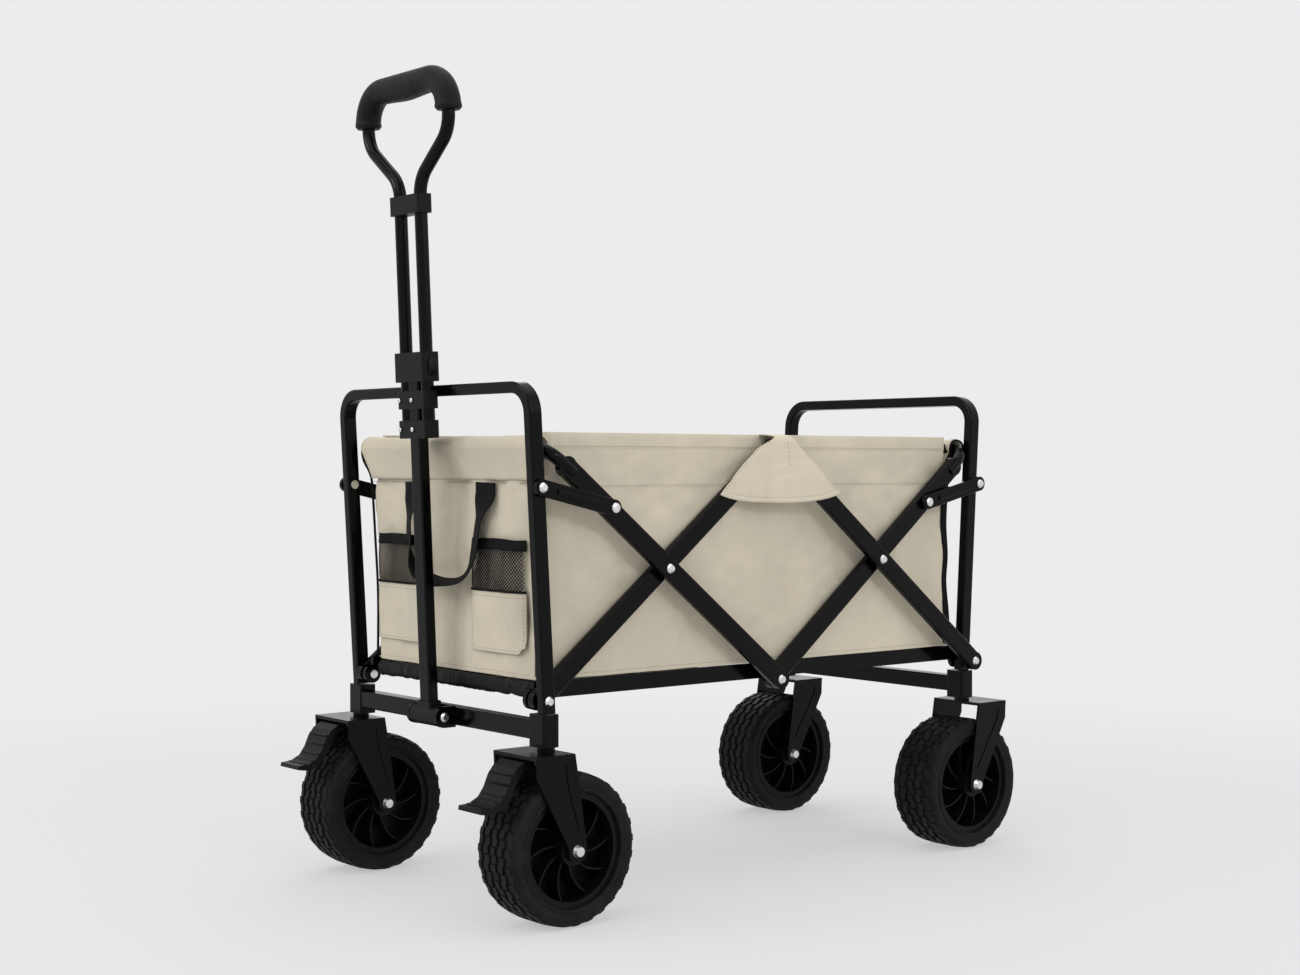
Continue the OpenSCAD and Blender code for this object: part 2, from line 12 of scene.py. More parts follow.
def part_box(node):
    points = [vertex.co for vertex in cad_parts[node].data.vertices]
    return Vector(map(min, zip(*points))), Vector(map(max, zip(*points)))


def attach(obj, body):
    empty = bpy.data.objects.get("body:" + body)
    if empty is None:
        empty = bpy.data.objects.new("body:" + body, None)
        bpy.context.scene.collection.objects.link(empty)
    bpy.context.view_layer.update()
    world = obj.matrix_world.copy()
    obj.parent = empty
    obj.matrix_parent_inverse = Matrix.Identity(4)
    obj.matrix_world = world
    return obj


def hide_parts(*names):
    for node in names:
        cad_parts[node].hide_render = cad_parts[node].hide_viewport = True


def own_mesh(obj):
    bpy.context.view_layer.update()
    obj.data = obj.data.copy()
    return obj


bl_info = {
    "name": "Beach Cart Looks",
    "version": (1, 0, 0),
    "blender": (4, 5, 0),
    "location": "3D Viewport > Sidebar > Beach Cart",
    "description": "Builds the fabric, tyres, grip and finishes of a folding beach cart",
    "category": "Object",
}

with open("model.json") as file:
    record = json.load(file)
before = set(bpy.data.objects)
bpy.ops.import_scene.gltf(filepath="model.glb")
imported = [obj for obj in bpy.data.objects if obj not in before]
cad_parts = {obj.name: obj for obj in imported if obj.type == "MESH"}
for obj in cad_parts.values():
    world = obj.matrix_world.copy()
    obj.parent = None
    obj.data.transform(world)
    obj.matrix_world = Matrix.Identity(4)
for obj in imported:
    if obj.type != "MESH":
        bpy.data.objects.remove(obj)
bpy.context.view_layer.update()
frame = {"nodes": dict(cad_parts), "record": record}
NODES = frame["nodes"]

TUB_BODY = "tub"
MID_Y = 0.016
HANDLE_PIVOT = Vector((0.0, MID_Y - 0.398, 0.226))
HANDLE_LEAN = math.radians(2.5)
RIM_Z = 0.5559
FRONT_RIM_Y = MID_Y - 0.372
REAR_RIM_Y = MID_Y + 0.372
FRONT_WALL_Y = MID_Y - 0.368
REAR_WALL_Y = MID_Y + 0.354
FLAP_BRIDGE = 8
FLOOR_SHARE = 0.66
FLOOR_GLOW = 0.55
SCREW_X = 0.0255
CAMERA_PLACE = (2.027, -1.698, 0.536)
CAMERA_TURN_LIFT_ROLL = (50.56, 0.705, 0.045)
WALL_COLUMNS = 372
NET_SECTION = ((-1, 0), (0, 1), (1, 0), (0, -1))


# ---------------------------------------------------------------- settings


class ClothSettings(bpy.types.PropertyGroup):
    """Sizes and colours of the fabric pieces."""

    colour: FloatVectorProperty(
        name="Canvas",
        description="Colour of the woven tub fabric",
        subtype="COLOR",
        size=3,
        min=0.0,
        max=1.0,
        default=(0.590, 0.532, 0.424),
    )
    trim: FloatVectorProperty(
        name="Trim",
        description="Colour of the binding, net and webbing",
        subtype="COLOR",
        size=3,
        min=0.0,
        max=1.0,
        default=(0.0030, 0.0030, 0.0033),
    )
    weave: FloatProperty(
        name="Weave",
        description="Distance from one thread of the canvas to the next",
        unit="LENGTH",
        precision=4,
        min=0.0003,
        max=0.003,
        default=0.0009,
    )
    thickness: FloatProperty(
        name="Thickness",
        description="Thickness of the canvas",
        unit="LENGTH",
        precision=4,
        min=0.0005,
        max=0.003,
        default=0.0014,
    )
    wrinkle: FloatProperty(
        name="Wrinkle",
        description="Depth of the small folds in the walls",
        unit="LENGTH",
        precision=4,
        min=0.0,
        max=0.004,
        default=0.0042,
    )
    stitch: FloatProperty(
        name="Stitch",
        description="Length of one stitch",
        unit="LENGTH",
        precision=4,
        min=0.001,
        max=0.008,
        default=0.0040,
    )
    mesh_size: FloatProperty(
        name="Net",
        description="Distance between the threads of the pocket net",
        unit="LENGTH",
        precision=4,
        min=0.002,
        max=0.012,
        default=0.0034,
    )


class WheelSettings(bpy.types.PropertyGroup):
    """Sizes of the tyre tread."""

    lugs: IntProperty(
        name="Lugs",
        description="Number of tread lugs round the tyre in each row",
        min=12,
        max=60,
        default=28,
    )
    rows: IntProperty(
        name="Rows",
        description="Number of rows of lugs across the tyre",
        min=3,
        max=7,
        default=5,
    )
    depth: FloatProperty(
        name="Depth",
        description="Depth of the grooves between the lugs",
        unit="LENGTH",
        precision=4,
        min=0.0005,
        max=0.006,
        default=0.0027,
    )
    rubber: FloatVectorProperty(
        name="Rubber",
        description="Colour of the tyres",
        subtype="COLOR",
        size=3,
        min=0.0,
        max=1.0,
        default=(0.0048, 0.0048, 0.0050),
    )


class PaintSettings(bpy.types.PropertyGroup):
    """Colours and gloss of the hard parts."""

    paint: FloatVectorProperty(
        name="Paint",
        description="Colour of the painted steel tubes",
        subtype="COLOR",
        size=3,
        min=0.0,
        max=1.0,
        default=(0.0010, 0.0010, 0.0011),
    )
    gloss: FloatProperty(
        name="Paint roughness",
        description="Mean roughness of the painted steel",
        subtype="FACTOR",
        min=0.05,
        max=0.9,
        default=0.17,
    )
    plastic: FloatVectorProperty(
        name="Plastic",
        description="Colour of the moulded parts",
        subtype="COLOR",
        size=3,
        min=0.0,
        max=1.0,
        default=(0.0030, 0.0030, 0.0032),
    )
    steel: FloatVectorProperty(
        name="Bolts",
        description="Colour of the zinc plated bolts",
        subtype="COLOR",
        size=3,
        min=0.0,
        max=1.0,
        default=(0.74, 0.74, 0.73),
    )


class StageSettings(bpy.types.PropertyGroup):
    """Camera and studio."""

    lens: FloatProperty(
        name="Lens",
        description="Focal length of the camera on a 36 mm sensor",
        subtype="DISTANCE_CAMERA",
        min=20.0,
        max=200.0,
        default=54.0,
    )
    floor: FloatVectorProperty(
        name="Floor",
        description="Colour of the studio floor and surround",
        subtype="COLOR",
        size=3,
        min=0.0,
        max=1.0,
        default=(0.84, 0.84, 0.84),
    )


class CartSettings(bpy.types.PropertyGroup):
    """All settings of the cart."""

    cloth: PointerProperty(type=ClothSettings)
    wheels: PointerProperty(type=WheelSettings)
    paint: PointerProperty(type=PaintSettings)
    stage: PointerProperty(type=StageSettings)


def settings():
    return bpy.context.scene.beach_cart


# ---------------------------------------------------------------- materials


class Signal:
    """One value in a finish. Arithmetic on it adds the Math nodes that work it out."""

    def __init__(self, finish, socket):
        self.finish = finish
        self.socket = socket

    def maths(self, operation, *values):
        return self.finish.node(
            "ShaderNodeMath", {"operation": operation}, dict(enumerate(values))
        )

    def __add__(self, other):
        return self.maths("ADD", self, other)

    def __radd__(self, other):
        return self.maths("ADD", other, self)

    def __sub__(self, other):
        return self.maths("SUBTRACT", self, other)

    def __rsub__(self, other):
        return self.maths("SUBTRACT", other, self)

    def __mul__(self, other):
        return self.maths("MULTIPLY", self, other)

    def __rmul__(self, other):
        return self.maths("MULTIPLY", other, self)

    def __pow__(self, other):
        return self.maths("POWER", self, other)

    def __abs__(self):
        return self.maths("ABSOLUTE", self)

    def sine(self):
        return self.maths("SINE", self)

    def ramp(self, low, high):
        """0 at low, 1 at high, smooth between."""
        return self.finish.node(
            "ShaderNodeMapRange",
            {"interpolation_type": "SMOOTHSTEP"},
            {"Value": self, "From Min": low, "From Max": high},
        )


class Finish:
    """A material with one Principled shader and the nodes that feed it."""

    def __init__(self, name, constants):
        self.material = bpy.data.materials.new(name)
        self.material.use_nodes = True
        self.tree = self.material.node_tree
        self.tree.nodes.clear()
        self.shader = self.tree.nodes.new("ShaderNodeBsdfPrincipled")
        self.output = self.tree.nodes.new("ShaderNodeOutputMaterial")
        self.tree.links.new(self.shader.outputs[0], self.output.inputs["Surface"])
        for socket, value in constants.items():
            self.shader.inputs[socket].default_value = value

    def node(self, kind, choices=None, sockets=None, output=0):
        made = self.tree.nodes.new(kind)
        for key, value in (choices or {}).items():
            setattr(made, key, value)
        for key, value in (sockets or {}).items():
            if isinstance(value, Signal):
                self.tree.links.new(value.socket, made.inputs[key])
            else:
                made.inputs[key].default_value = value
        return Signal(self, made.outputs[output])

    def split(self, vector):
        first = self.node("ShaderNodeSeparateXYZ", {}, {"Vector": vector})
        return [Signal(self, s) for s in first.socket.node.outputs]

    def place(self, kind="Object"):
        return self.node("ShaderNodeTexCoord", output=kind)

    def noise(self, scale, detail=3.0, roughness=0.55, stretch=None):
        where = self.place()
        if stretch:
            where = self.node(
                "ShaderNodeVectorMath",
                {"operation": "MULTIPLY"},
                {0: where, 1: stretch},
            )
        return self.node(
            "ShaderNodeTexNoise",
            {},
            {
                "Vector": where,
                "Scale": scale,
                "Detail": detail,
                "Roughness": roughness,
            },
        )

    def cells(self, scale):
        return self.node(
            "ShaderNodeTexVoronoi", {}, {"Vector": self.place(), "Scale": scale}
        )

    def blend(self, share, first, second):
        return self.node(
            "ShaderNodeMix",
            {"data_type": "RGBA"},
            {0: share, 6: (*first, 1.0), 7: (*second, 1.0)}
            if not isinstance(first, Signal)
            else {0: share, 6: first, 7: (*second, 1.0)},
            output=2,
        )

    def feed(self, socket, value):
        self.tree.links.new(value.socket, self.shader.inputs[socket])

    def bump(self, height, depth, strength=1.0, under=None):
        sockets = {"Height": height, "Distance": depth, "Strength": strength}
        if under is not None:
            sockets["Normal"] = under
        return self.node("ShaderNodeBump", {}, sockets)


def shade(colour, share):
    return tuple(min(1.0, c * share) for c in colour)


def canvas_finish(name, colour, pitch, level=False):
    """Plain woven polyester. level is for pieces that lie flat."""
    cloth = Finish(
        name,
        {"Specular IOR Level": 0.2},
    )
    x, y, z = cloth.split(cloth.place())
    across, along = (x, y) if level else (x + y, z)
    turns = math.pi / pitch
    threads = (across * turns).sine() * (along * turns).sine()
    slub = cloth.noise(420.0, 2.0, 0.5, (1.0, 1.0, 0.25))
    cloud = cloth.noise(5.0, 4.0, 0.6)
    crease = cloth.noise(26.0, 5.0, 0.62, (1.0, 1.0, 0.6))
    tone = cloth.blend(cloud.ramp(0.3, 0.7), shade(colour, 0.90), shade(colour, 1.05))
    shadow = abs(threads).ramp(0.05, 0.6) * 0.55 + slub * 0.45
    dark = cloth.node(
        "ShaderNodeMix",
        {"data_type": "RGBA"},
        {0: (1.0 - shadow) * 0.20, 6: tone, 7: (*shade(colour, 0.55), 1.0)},
        output=2,
    )
    cloth.feed("Base Color", dark)
    cloth.feed("Roughness", slub * 0.16 + 0.74)
    broad = cloth.noise(8.0, 3.0, 0.5, (1.0, 1.0, 0.7))
    drape = cloth.bump(broad, 0.016, 0.6)
    soft = cloth.bump(crease, 0.0042, 0.6, drape)
    cloth.feed("Normal", cloth.bump(threads * 0.5 + slub * 0.5, 0.00032, 0.7, soft))
    return cloth.material


def trim_finish(name, colour, pitch):
    """Ribbed tape: binding and webbing."""
    tape = Finish(name, {"Specular IOR Level": 0.12})
    parts = dict(zip("XYZ", tape.split(tape.place("UV"))))
    rib = (parts["Y"] * (2 * math.pi / pitch)).sine()
    cross = (parts["X"] * (2 * math.pi / (pitch * 0.6))).sine()
    fuzz = tape.noise(700.0, 2.0)
    # The base colour is painted shade of the ribs: lighter on the rib crests, darker in the
    # grooves between them, plus random fibre tone from the fuzz noise.
    tape.feed(
        "Base Color",
        tape.blend(rib.ramp(-1.0, 1.0) * 0.6 + fuzz * 0.4, shade(colour, 0.6), shade(colour, 1.7)),
    )
    tape.feed("Roughness", fuzz * 0.2 + 0.55)
    tape.feed("Normal", tape.bump(rib * 0.6 + cross * 0.25 + fuzz * 0.3, 0.0004, 0.8))
    return tape.material


def thread_finish(name, colour):
    """Sewing thread with a visible twist."""
    thread = Finish(name, {"Specular IOR Level": 0.12})
    x, y, z = thread.split(thread.place())
    twist = ((x + y + z) * 5200.0).sine()
    # The base colour is painted shade of the twist: darker in the grooves between the plies, full
    # colour on the raised plies.
    thread.feed(
        "Base Color", thread.blend(twist.ramp(-1.0, 1.0), shade(colour, 0.75), colour)
    )
    thread.feed("Roughness", thread.noise(300.0) * 0.2 + 0.55)
    thread.feed("Normal", thread.bump(twist, 0.0002, 0.6))
    return thread.material


def paint_finish(name, colour, roughness):
    """Glossy stoved paint on steel, with faint orange peel, rub marks and dust."""
    paint = Finish(name, {"Specular IOR Level": 0.12})
    peel = paint.noise(520.0, 2.0, 0.5)
    rub = paint.noise(34.0, 6.0, 0.68)
    dust = paint.noise(9.0, 4.0, 0.6)
    paint.feed("Base Color", paint.blend(dust.ramp(0.4, 0.8), colour, shade(colour, 1.9)))
    paint.feed("Roughness", rub.ramp(0.42, 0.78) * 0.14 + peel * 0.05 + (roughness - 0.04))
    paint.feed("Normal", paint.bump(peel, 0.00012, 0.5))
    return paint.material


def plastic_finish(name, colour, roughness, grain):
    """Moulded nylon with a fine spark-eroded grain."""
    plastic = Finish(name, {"Specular IOR Level": 0.12})
    spark = plastic.cells(grain)
    soft = plastic.noise(60.0, 4.0, 0.6)
    plastic.feed(
        "Base Color", plastic.blend(soft.ramp(0.35, 0.75), colour, shade(colour, 1.6))
    )
    plastic.feed("Roughness", soft * 0.12 + (roughness - 0.06))
    plastic.feed("Normal", plastic.bump(spark, 0.00018, 0.4))
    return plastic.material


def rubber_finish(name, colour):
    """Tyre rubber, slightly dusty, with mould lines too fine to model."""
    rubber = Finish(name, {"Specular IOR Level": 0.12})
    dust = rubber.noise(48.0, 6.0, 0.65)
    fine = rubber.noise(900.0, 3.0, 0.6)
    rubber.feed(
        "Base Color",
        rubber.blend(dust.ramp(0.35, 0.8), colour, (0.0125, 0.0122, 0.0117)),
    )
    rubber.feed("Roughness", dust * 0.18 + fine * 0.08 + 0.46)
    rubber.feed("Normal", rubber.bump(fine * 0.7 + dust * 0.3, 0.0003, 0.5))
    return rubber.material


def foam_finish(name, colour):
    """Closed cell foam of the grip."""
    foam = Finish(name, {"Specular IOR Level": 0.14})
    cell = foam.cells(1500.0)
    soft = foam.noise(70.0, 4.0)
    foam.feed("Base Color", foam.blend(soft.ramp(0.3, 0.8), colour, shade(colour, 1.8)))
    foam.feed("Roughness", soft * 0.16 + 0.42)
    foam.feed("Normal", foam.bump(cell, 0.0002, 0.5))
    return foam.material


def steel_finish(name, colour):
    """Zinc plated bolt heads."""
    steel = Finish(name, {"Metallic": 1.0})
    grain = steel.noise(1400.0, 3.0, 0.6)
    stain = steel.noise(160.0, 4.0, 0.6)
    steel.feed(
        "Base Color", steel.blend(stain.ramp(0.4, 0.8), colour, shade(colour, 0.72))
    )
    steel.feed("Roughness", grain * 0.16 + 0.18)
    steel.feed("Normal", steel.bump(grain, 0.0001, 0.3))
    return steel.material


MADE = {}


def finish(name):
    """The finish of that name, made the first time it is asked for."""
    if name not in MADE:
        cloth, wheels, paint = settings().cloth, settings().wheels, settings().paint
        makers = {
            "canvas": lambda: canvas_finish("canvas", cloth.colour, cloth.weave),
            "canvas_floor": lambda: canvas_finish(
                "canvas_floor", cloth.colour, cloth.weave, level=True
            ),
            "binding": lambda: trim_finish("binding_tape", cloth.trim, 0.0014),
            "webbing": lambda: trim_finish("webbing", cloth.trim, 0.0022),
            "net": lambda: thread_finish("net_thread", shade(cloth.trim, 1.4)),
            "thread": lambda: thread_finish(
                "seam_thread", shade(cloth.colour, 0.42)
            ),
            "paint": lambda: paint_finish("frame_paint", paint.paint, paint.gloss),
            "plastic": lambda: plastic_finish(
                "moulded_nylon", paint.plastic, 0.42, 1500.0
            ),
            "wheel": lambda: plastic_finish("wheel_nylon", paint.plastic, 0.34, 900.0),
            "rubber": lambda: rubber_finish("tyre_rubber", wheels.rubber),
            "foam": lambda: foam_finish("grip_foam", paint.plastic),
            "steel": lambda: steel_finish("bolt_zinc", paint.steel),
        }
        MADE[name] = makers[name]()
    return MADE[name]


# ---------------------------------------------------------------- mesh tools


def smooth_step(value, low, high):
    share = np.clip((np.asarray(value, float) - low) / (high - low), 0.0, 1.0)
    return share * share * (3.0 - 2.0 * share)


def hump(value, centre, width):
    return np.exp(-(((np.asarray(value, float) - centre) / width) ** 2))


def ripple(u, v, seed, length, waves=14):
    """Smooth seeded unevenness of unit size over two lengths in metres."""
    random = np.random.default_rng(seed)
    total = np.zeros(np.broadcast(u, v).shape)
    for _ in range(waves):
        heading = random.uniform(0.0, math.tau)
        size = length * random.uniform(0.6, 1.8)
        start = random.uniform(0.0, math.tau)
        total += np.sin(
            math.tau * (u * math.cos(heading) + v * math.sin(heading)) / size + start
        )
    return total / math.sqrt(waves / 2.0) * 0.5


def grid_faces(rows, columns, first=0, around=False, flip=False):
    faces = []
    for i in range(rows - 1):
        for j in range(columns if around else columns - 1):
            k = (j + 1) % columns
            face = (
                first + i * columns + j,
                first + i * columns + k,
                first + (i + 1) * columns + k,
                first + (i + 1) * columns + j,
            )
            faces.append(face[::-1] if flip else face)
    return faces


def grid_normals(points, around=False):
    """Unit normals of a grid of points, rows by columns by 3."""
    down = np.gradient(points, axis=0)
    if around:
        side = (np.roll(points, -1, axis=1) - np.roll(points, 1, axis=1)) / 2.0
    else:
        side = np.gradient(points, axis=1)
    normal = np.cross(side, down)
    size = np.linalg.norm(normal, axis=2, keepdims=True)
    return normal / np.maximum(size, 1e-12)


def make_piece(name, points, faces, material, smooth=True, uvs=None):
    mesh = bpy.data.meshes.new(name)
    mesh.from_pydata([tuple(p) for p in np.asarray(points, float)], [], faces)
    mesh.validate()
    mesh.update()
    if smooth:
        mesh.polygons.foreach_set("use_smooth", [True] * len(mesh.polygons))
    if uvs is not None:
        layer = mesh.uv_layers.new(name="UVMap")
        corners = np.zeros(len(mesh.loops), np.int32)
        mesh.loops.foreach_get("vertex_index", corners)
        layer.data.foreach_set("uv", np.asarray(uvs, np.float32)[corners].ravel())
    mesh.materials.append(material)
    piece = bpy.data.objects.new(name, mesh)
    bpy.context.scene.collection.objects.link(piece)
    return piece


def cloth_shell(outer, thickness, around=False):
    """Points and faces of a closed sheet: a grid and its copy pushed back by the thickness."""
    rows, columns = outer.shape[:2]
    normal = grid_normals(outer, around)
    inner = outer - normal * thickness
    points = np.concatenate([outer.reshape(-1, 3), inner.reshape(-1, 3)])
    count = rows * columns
    faces = grid_faces(rows, columns, 0, around)
    faces += grid_faces(rows, columns, count, around, flip=True)
    last = columns if around else columns - 1
    for j in range(last):
        k = (j + 1) % columns
        faces.append((k, j, count + j, count + k))
        top = (rows - 1) * columns
        faces.append((top + j, top + k, count + top + k, count + top + j))
    if not around:
        for i in range(rows - 1):
            a, b = i * columns, (i + 1) * columns
            faces.append((a, b, count + b, count + a))
            a, b = a + columns - 1, b + columns - 1
            faces.append((b, a, count + a, count + b))
    return points, faces


def lofted(rings, closed_ends=True):
    """Points and faces of a skin over rings of equal length."""
    rings = np.asarray(rings, float)
    rows, columns = rings.shape[:2]
    points = rings.reshape(-1, 3)
    faces = grid_faces(rows, columns, 0, around=True)
    if closed_ends:
        faces.append(tuple(range(columns))[::-1])
        top = (rows - 1) * columns
        faces.append(tuple(top + j for j in range(columns)))
    return points, faces


def path_frames(path):
    path = np.asarray(path, float)
    along = np.gradient(path, axis=0)
    return along / np.maximum(np.linalg.norm(along, axis=1, keepdims=True), 1e-12)


def strap_mesh(path, across, width, thickness):
    """A flat strap along a path. across gives the direction of its width at each point."""
    path = np.asarray(path, float)
    along = path_frames(path)
    across = np.asarray(across, float)
    across = across - along * np.sum(across * along, axis=1, keepdims=True)
    across = across / np.linalg.norm(across, axis=1, keepdims=True)
    face = np.cross(along, across)
    width = np.broadcast_to(width, len(path))
    half = thickness / 2.0
    section = [
        (-0.5, 0.4),
        (-0.47, 1.0),
        (-0.2, 1.0),
        (0.0, 1.0),
        (0.2, 1.0),
        (0.47, 1.0),
        (0.5, 0.4),
        (0.5, -0.4),
        (0.47, -1.0),
        (0.2, -1.0),
        (0.0, -1.0),
        (-0.2, -1.0),
        (-0.47, -1.0),
        (-0.5, -0.4),
    ]
    rings, uvs = [], []
    gone = 0.0
    for i in range(len(path)):
        if i:
            gone += float(np.linalg.norm(path[i] - path[i - 1]))
        rings.append(
            [path[i] + across[i] * a * width[i] + face[i] * b * half for a, b in section]
        )
        uvs += [(a * width[i], gone) for a, b in section]
    points, faces = lofted(rings)
    return points, faces, uvs


def smooth_path(corners, count):
    """Catmull-Rom points through the corners, spaced evenly."""
    corners = np.asarray(corners, float)
    ends = np.vstack([2 * corners[0] - corners[1], corners, 2 * corners[-1] - corners[-2]])
    dense = []
    for i in range(len(corners) - 1):
        a, b, c, d = ends[i : i + 4]
        for t in np.linspace(0.0, 1.0, 24, endpoint=False):
            dense.append(
                0.5
                * (
                    2 * b
                    + (c - a) * t
                    + (2 * a - 5 * b + 4 * c - d) * t * t
                    + (3 * b - a - 3 * c + d) * t**3
                )
            )
    dense.append(corners[-1])
    dense = np.array(dense)
    steps = np.concatenate([[0.0], np.cumsum(np.linalg.norm(np.diff(dense, axis=0), axis=1))])
    even = np.linspace(0.0, steps[-1], count)
    return np.stack([np.interp(even, steps, dense[:, k]) for k in range(3)], axis=1)


def stitch_mesh(seams, length, proud=0.00045, width=0.0009):
    """Rows of short raised threads. A seam is its points and the outward direction at each."""
    points, faces = [], []
    for path, outward in seams:
        path, outward = np.asarray(path, float), np.asarray(outward, float)
        steps = np.concatenate([[0.0], np.cumsum(np.linalg.norm(np.diff(path, axis=0), axis=1))])
        count = max(1, int(steps[-1] / (length * 1.35)))
        for i in range(count):
            middle = (i + 0.5) * steps[-1] / count
            spots = [middle - length * 0.5, middle, middle + length * 0.5]
            at = np.stack([np.interp(spots, steps, path[:, k]) for k in range(3)], axis=1)
            out = np.stack(
                [np.interp(middle, steps, outward[:, k]) for k in range(3)]
            )
            out = out / np.linalg.norm(out)
            run = at[2] - at[0]
            run = run / max(np.linalg.norm(run), 1e-12)
            side = np.cross(run, out) * width * 0.5
            first = len(points)
            for spot, rise, share in ((at[0], -0.4, 0.5), (at[1], 1.0, 1.0), (at[2], -0.4, 0.5)):
                points += [
                    spot - side * share - out * proud,
                    spot + side * share - out * proud,
                    spot + side * share * 0.6 + out * proud * rise,
                    spot - side * share * 0.6 + out * proud * rise,
                ]
            for a in (0, 4):
                for b in range(4):
                    c = (b + 1) % 4
                    faces.append(
                        (first + a + b, first + a + c, first + a + 4 + c, first + a + 4 + b)
                    )
            faces.append((first + 3, first + 2, first + 1, first))
            faces.append((first + 8, first + 9, first + 10, first + 11))
    return points, faces


def folds_flat(piece):
    """Gives the piece its own copy of its mesh."""
    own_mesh(piece)


def shifts_forward(piece):
    """Gives the piece its own copy of its mesh; the piece keeps its shape."""
    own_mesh(piece)


def on_tub(piece, slot, *nodes, place="sides"):
    """The piece goes with the tub. place is front, rear or sides."""
    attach(piece, TUB_BODY)
    if nodes:
        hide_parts(*nodes)
    if place == "sides":
        folds_flat(piece)
    elif place == "rear":
        shifts_forward(piece)
    return piece


def sew_on(name, seams, length, slot="canvas", thread="thread", place="sides"):
    """Stitches along the seams, as one piece that goes with the tub."""
    points, faces = stitch_mesh(seams, length)
    on_tub(make_piece(name, points, faces, finish(thread)), slot, place=place)


def tape_on(name, path, across, width, thickness, place):
    """A black tape along a path, as one piece that goes with the tub."""
    points, faces, uvs = strap_mesh(path, across, width, thickness)
    tape = make_piece(name, points, faces, finish("binding"), uvs=uvs)
    on_tub(tape, "webbing", place=place)


# ---------------------------------------------------------------- tub shape


def tub_outline(columns):
    """Base outline of the tub from the front middle round by +X, evenly spaced."""
    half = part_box("tub_side_right")[1].x - 0.0006
    bend = 0.010
    straight_x, front, rear = half - bend, FRONT_WALL_Y, REAR_WALL_Y
    points = [(0.0, front), (straight_x, front)]
    corners = [
        (straight_x, front + bend, -90),
        (straight_x, rear - bend, 0),
        (-straight_x, rear - bend, 90),
        (-straight_x, front + bend, 180),
    ]
    for x, y, start in corners:
        for turn in np.linspace(start, start + 90, 7):
            angle = math.radians(turn)
            points.append((x + bend * math.cos(angle), y + bend * math.sin(angle)))
    points.append((0.0, front))
    points = np.array(points)
    steps = np.concatenate([[0.0], np.cumsum(np.linalg.norm(np.diff(points, axis=0), axis=1))])
    even = np.linspace(0.0, steps[-1], columns, endpoint=False)
    return np.stack([np.interp(even, steps, points[:, k]) for k in range(2)], axis=1)


def wall_rows():
    """Heights of the wall rows, closer together at the seam and the hem."""
    return np.concatenate(
        [
            [0.2812, 0.2822, 0.2845, 0.288],
            np.linspace(0.293, 0.500, 40),
            [0.5045, 0.5066, 0.5076, 0.5086, 0.5105],
            np.linspace(0.515, 0.549, 8),
            [0.5525, 0.5545, 0.5555, 0.5570],
            [0.562, 0.567, 0.5705, 0.5724, 0.5730],
        ]
    )


def wall_points(x, y, z):
    """Shape of the tub wall over its base outline at a height, all arrays of one shape."""
    cloth = settings().cloth
    half = np.abs(x).max()
    front, rear = FRONT_WALL_Y, REAR_WALL_Y
    on_side = smooth_step(np.abs(x), half - 0.012, half - 0.002)
    at_front = hump(y, front, 0.055)
    at_rear = hump(y, rear, 0.045)
    high = smooth_step(z, 0.495, 0.545)
    narrow = at_front * np.where(x < 0, 0.0112 * (1 - smooth_step(z, 0.37, 0.50)), 0.0)
    narrow = narrow + at_rear * (0.0065 - 0.003 * high)
    span = smooth_step(y, front, front + 0.09) * (1 - smooth_step(y, rear - 0.09, rear))
    lift = smooth_step(z, 0.285, 0.36) * (1 - smooth_step(z, 0.50, 0.57))
    sag = 0.0035 * span * lift
    fold = ripple(x + y, z * 0.55, 3, 0.085) * 0.7 + ripple(x - y, z * 0.8, 5, 0.034) * 0.3
    centre = MID_Y
    fan = np.zeros_like(z)
    for place, spread in ((-0.30, 0.9), (-0.16, 1.1), (0.17, 1.0), (0.31, 0.8)):
        lean = (y - centre) - place * (0.573 - z) / 0.29 * 1.1
        fan += hump(lean, 0.0, 0.008) * spread * smooth_step(0.573 - z, 0.02, 0.10)
    rough = cloth.wrinkle * (fold + 0.60 * fan) * (0.35 + 0.65 * lift)
    ridge = 0.0006 * smooth_step(z, 0.5070, 0.5082)
    hem = 0.0007 * smooth_step(z, 0.5545, 0.5558)
    roll = -0.0006 * smooth_step(z, 0.5705, 0.5730)
    push = np.clip(rough, -0.005, 0.0020) + ridge + hem + roll - sag - 0.0010
    new_x = x - np.sign(x) * (narrow * smooth_step(np.abs(x), 0.05, half))
    new_x = new_x + np.sign(x) * on_side * push
    facing_front = (1 - on_side) * (y < 0)
    facing_rear = (1 - on_side) * (y > 0)
    bow = 0.0022 * ripple(x, z * 0.7, 9, 0.12) * lift * (1 - smooth_step(z, 0.455, 0.505))
    new_y = y - facing_front * (push + sag * 0.6 + bow) + facing_rear * (push + bow)
    outer_corner = smooth_step(np.abs(x), 0.135, 0.165)
    new_y = new_y + high * outer_corner * (
        0.0125 * hump(y, front, 0.02) - 0.0105 * hump(y, rear, 0.02)
    )
    return new_x, new_y


def wall_tops(x, y):
    """Top of the wall: the hem on the sides, hidden in the sleeve at the ends."""
    at_end = np.maximum(hump(y, FRONT_WALL_Y, 0.012), hump(y, REAR_WALL_Y, 0.012))
    reach = np.where(y < 0, 0.170, 0.160)
    inside = (1 - smooth_step(np.abs(x), reach - 0.012, reach)) * (at_end > 0.5)
    return 0.573 - 0.045 * inside


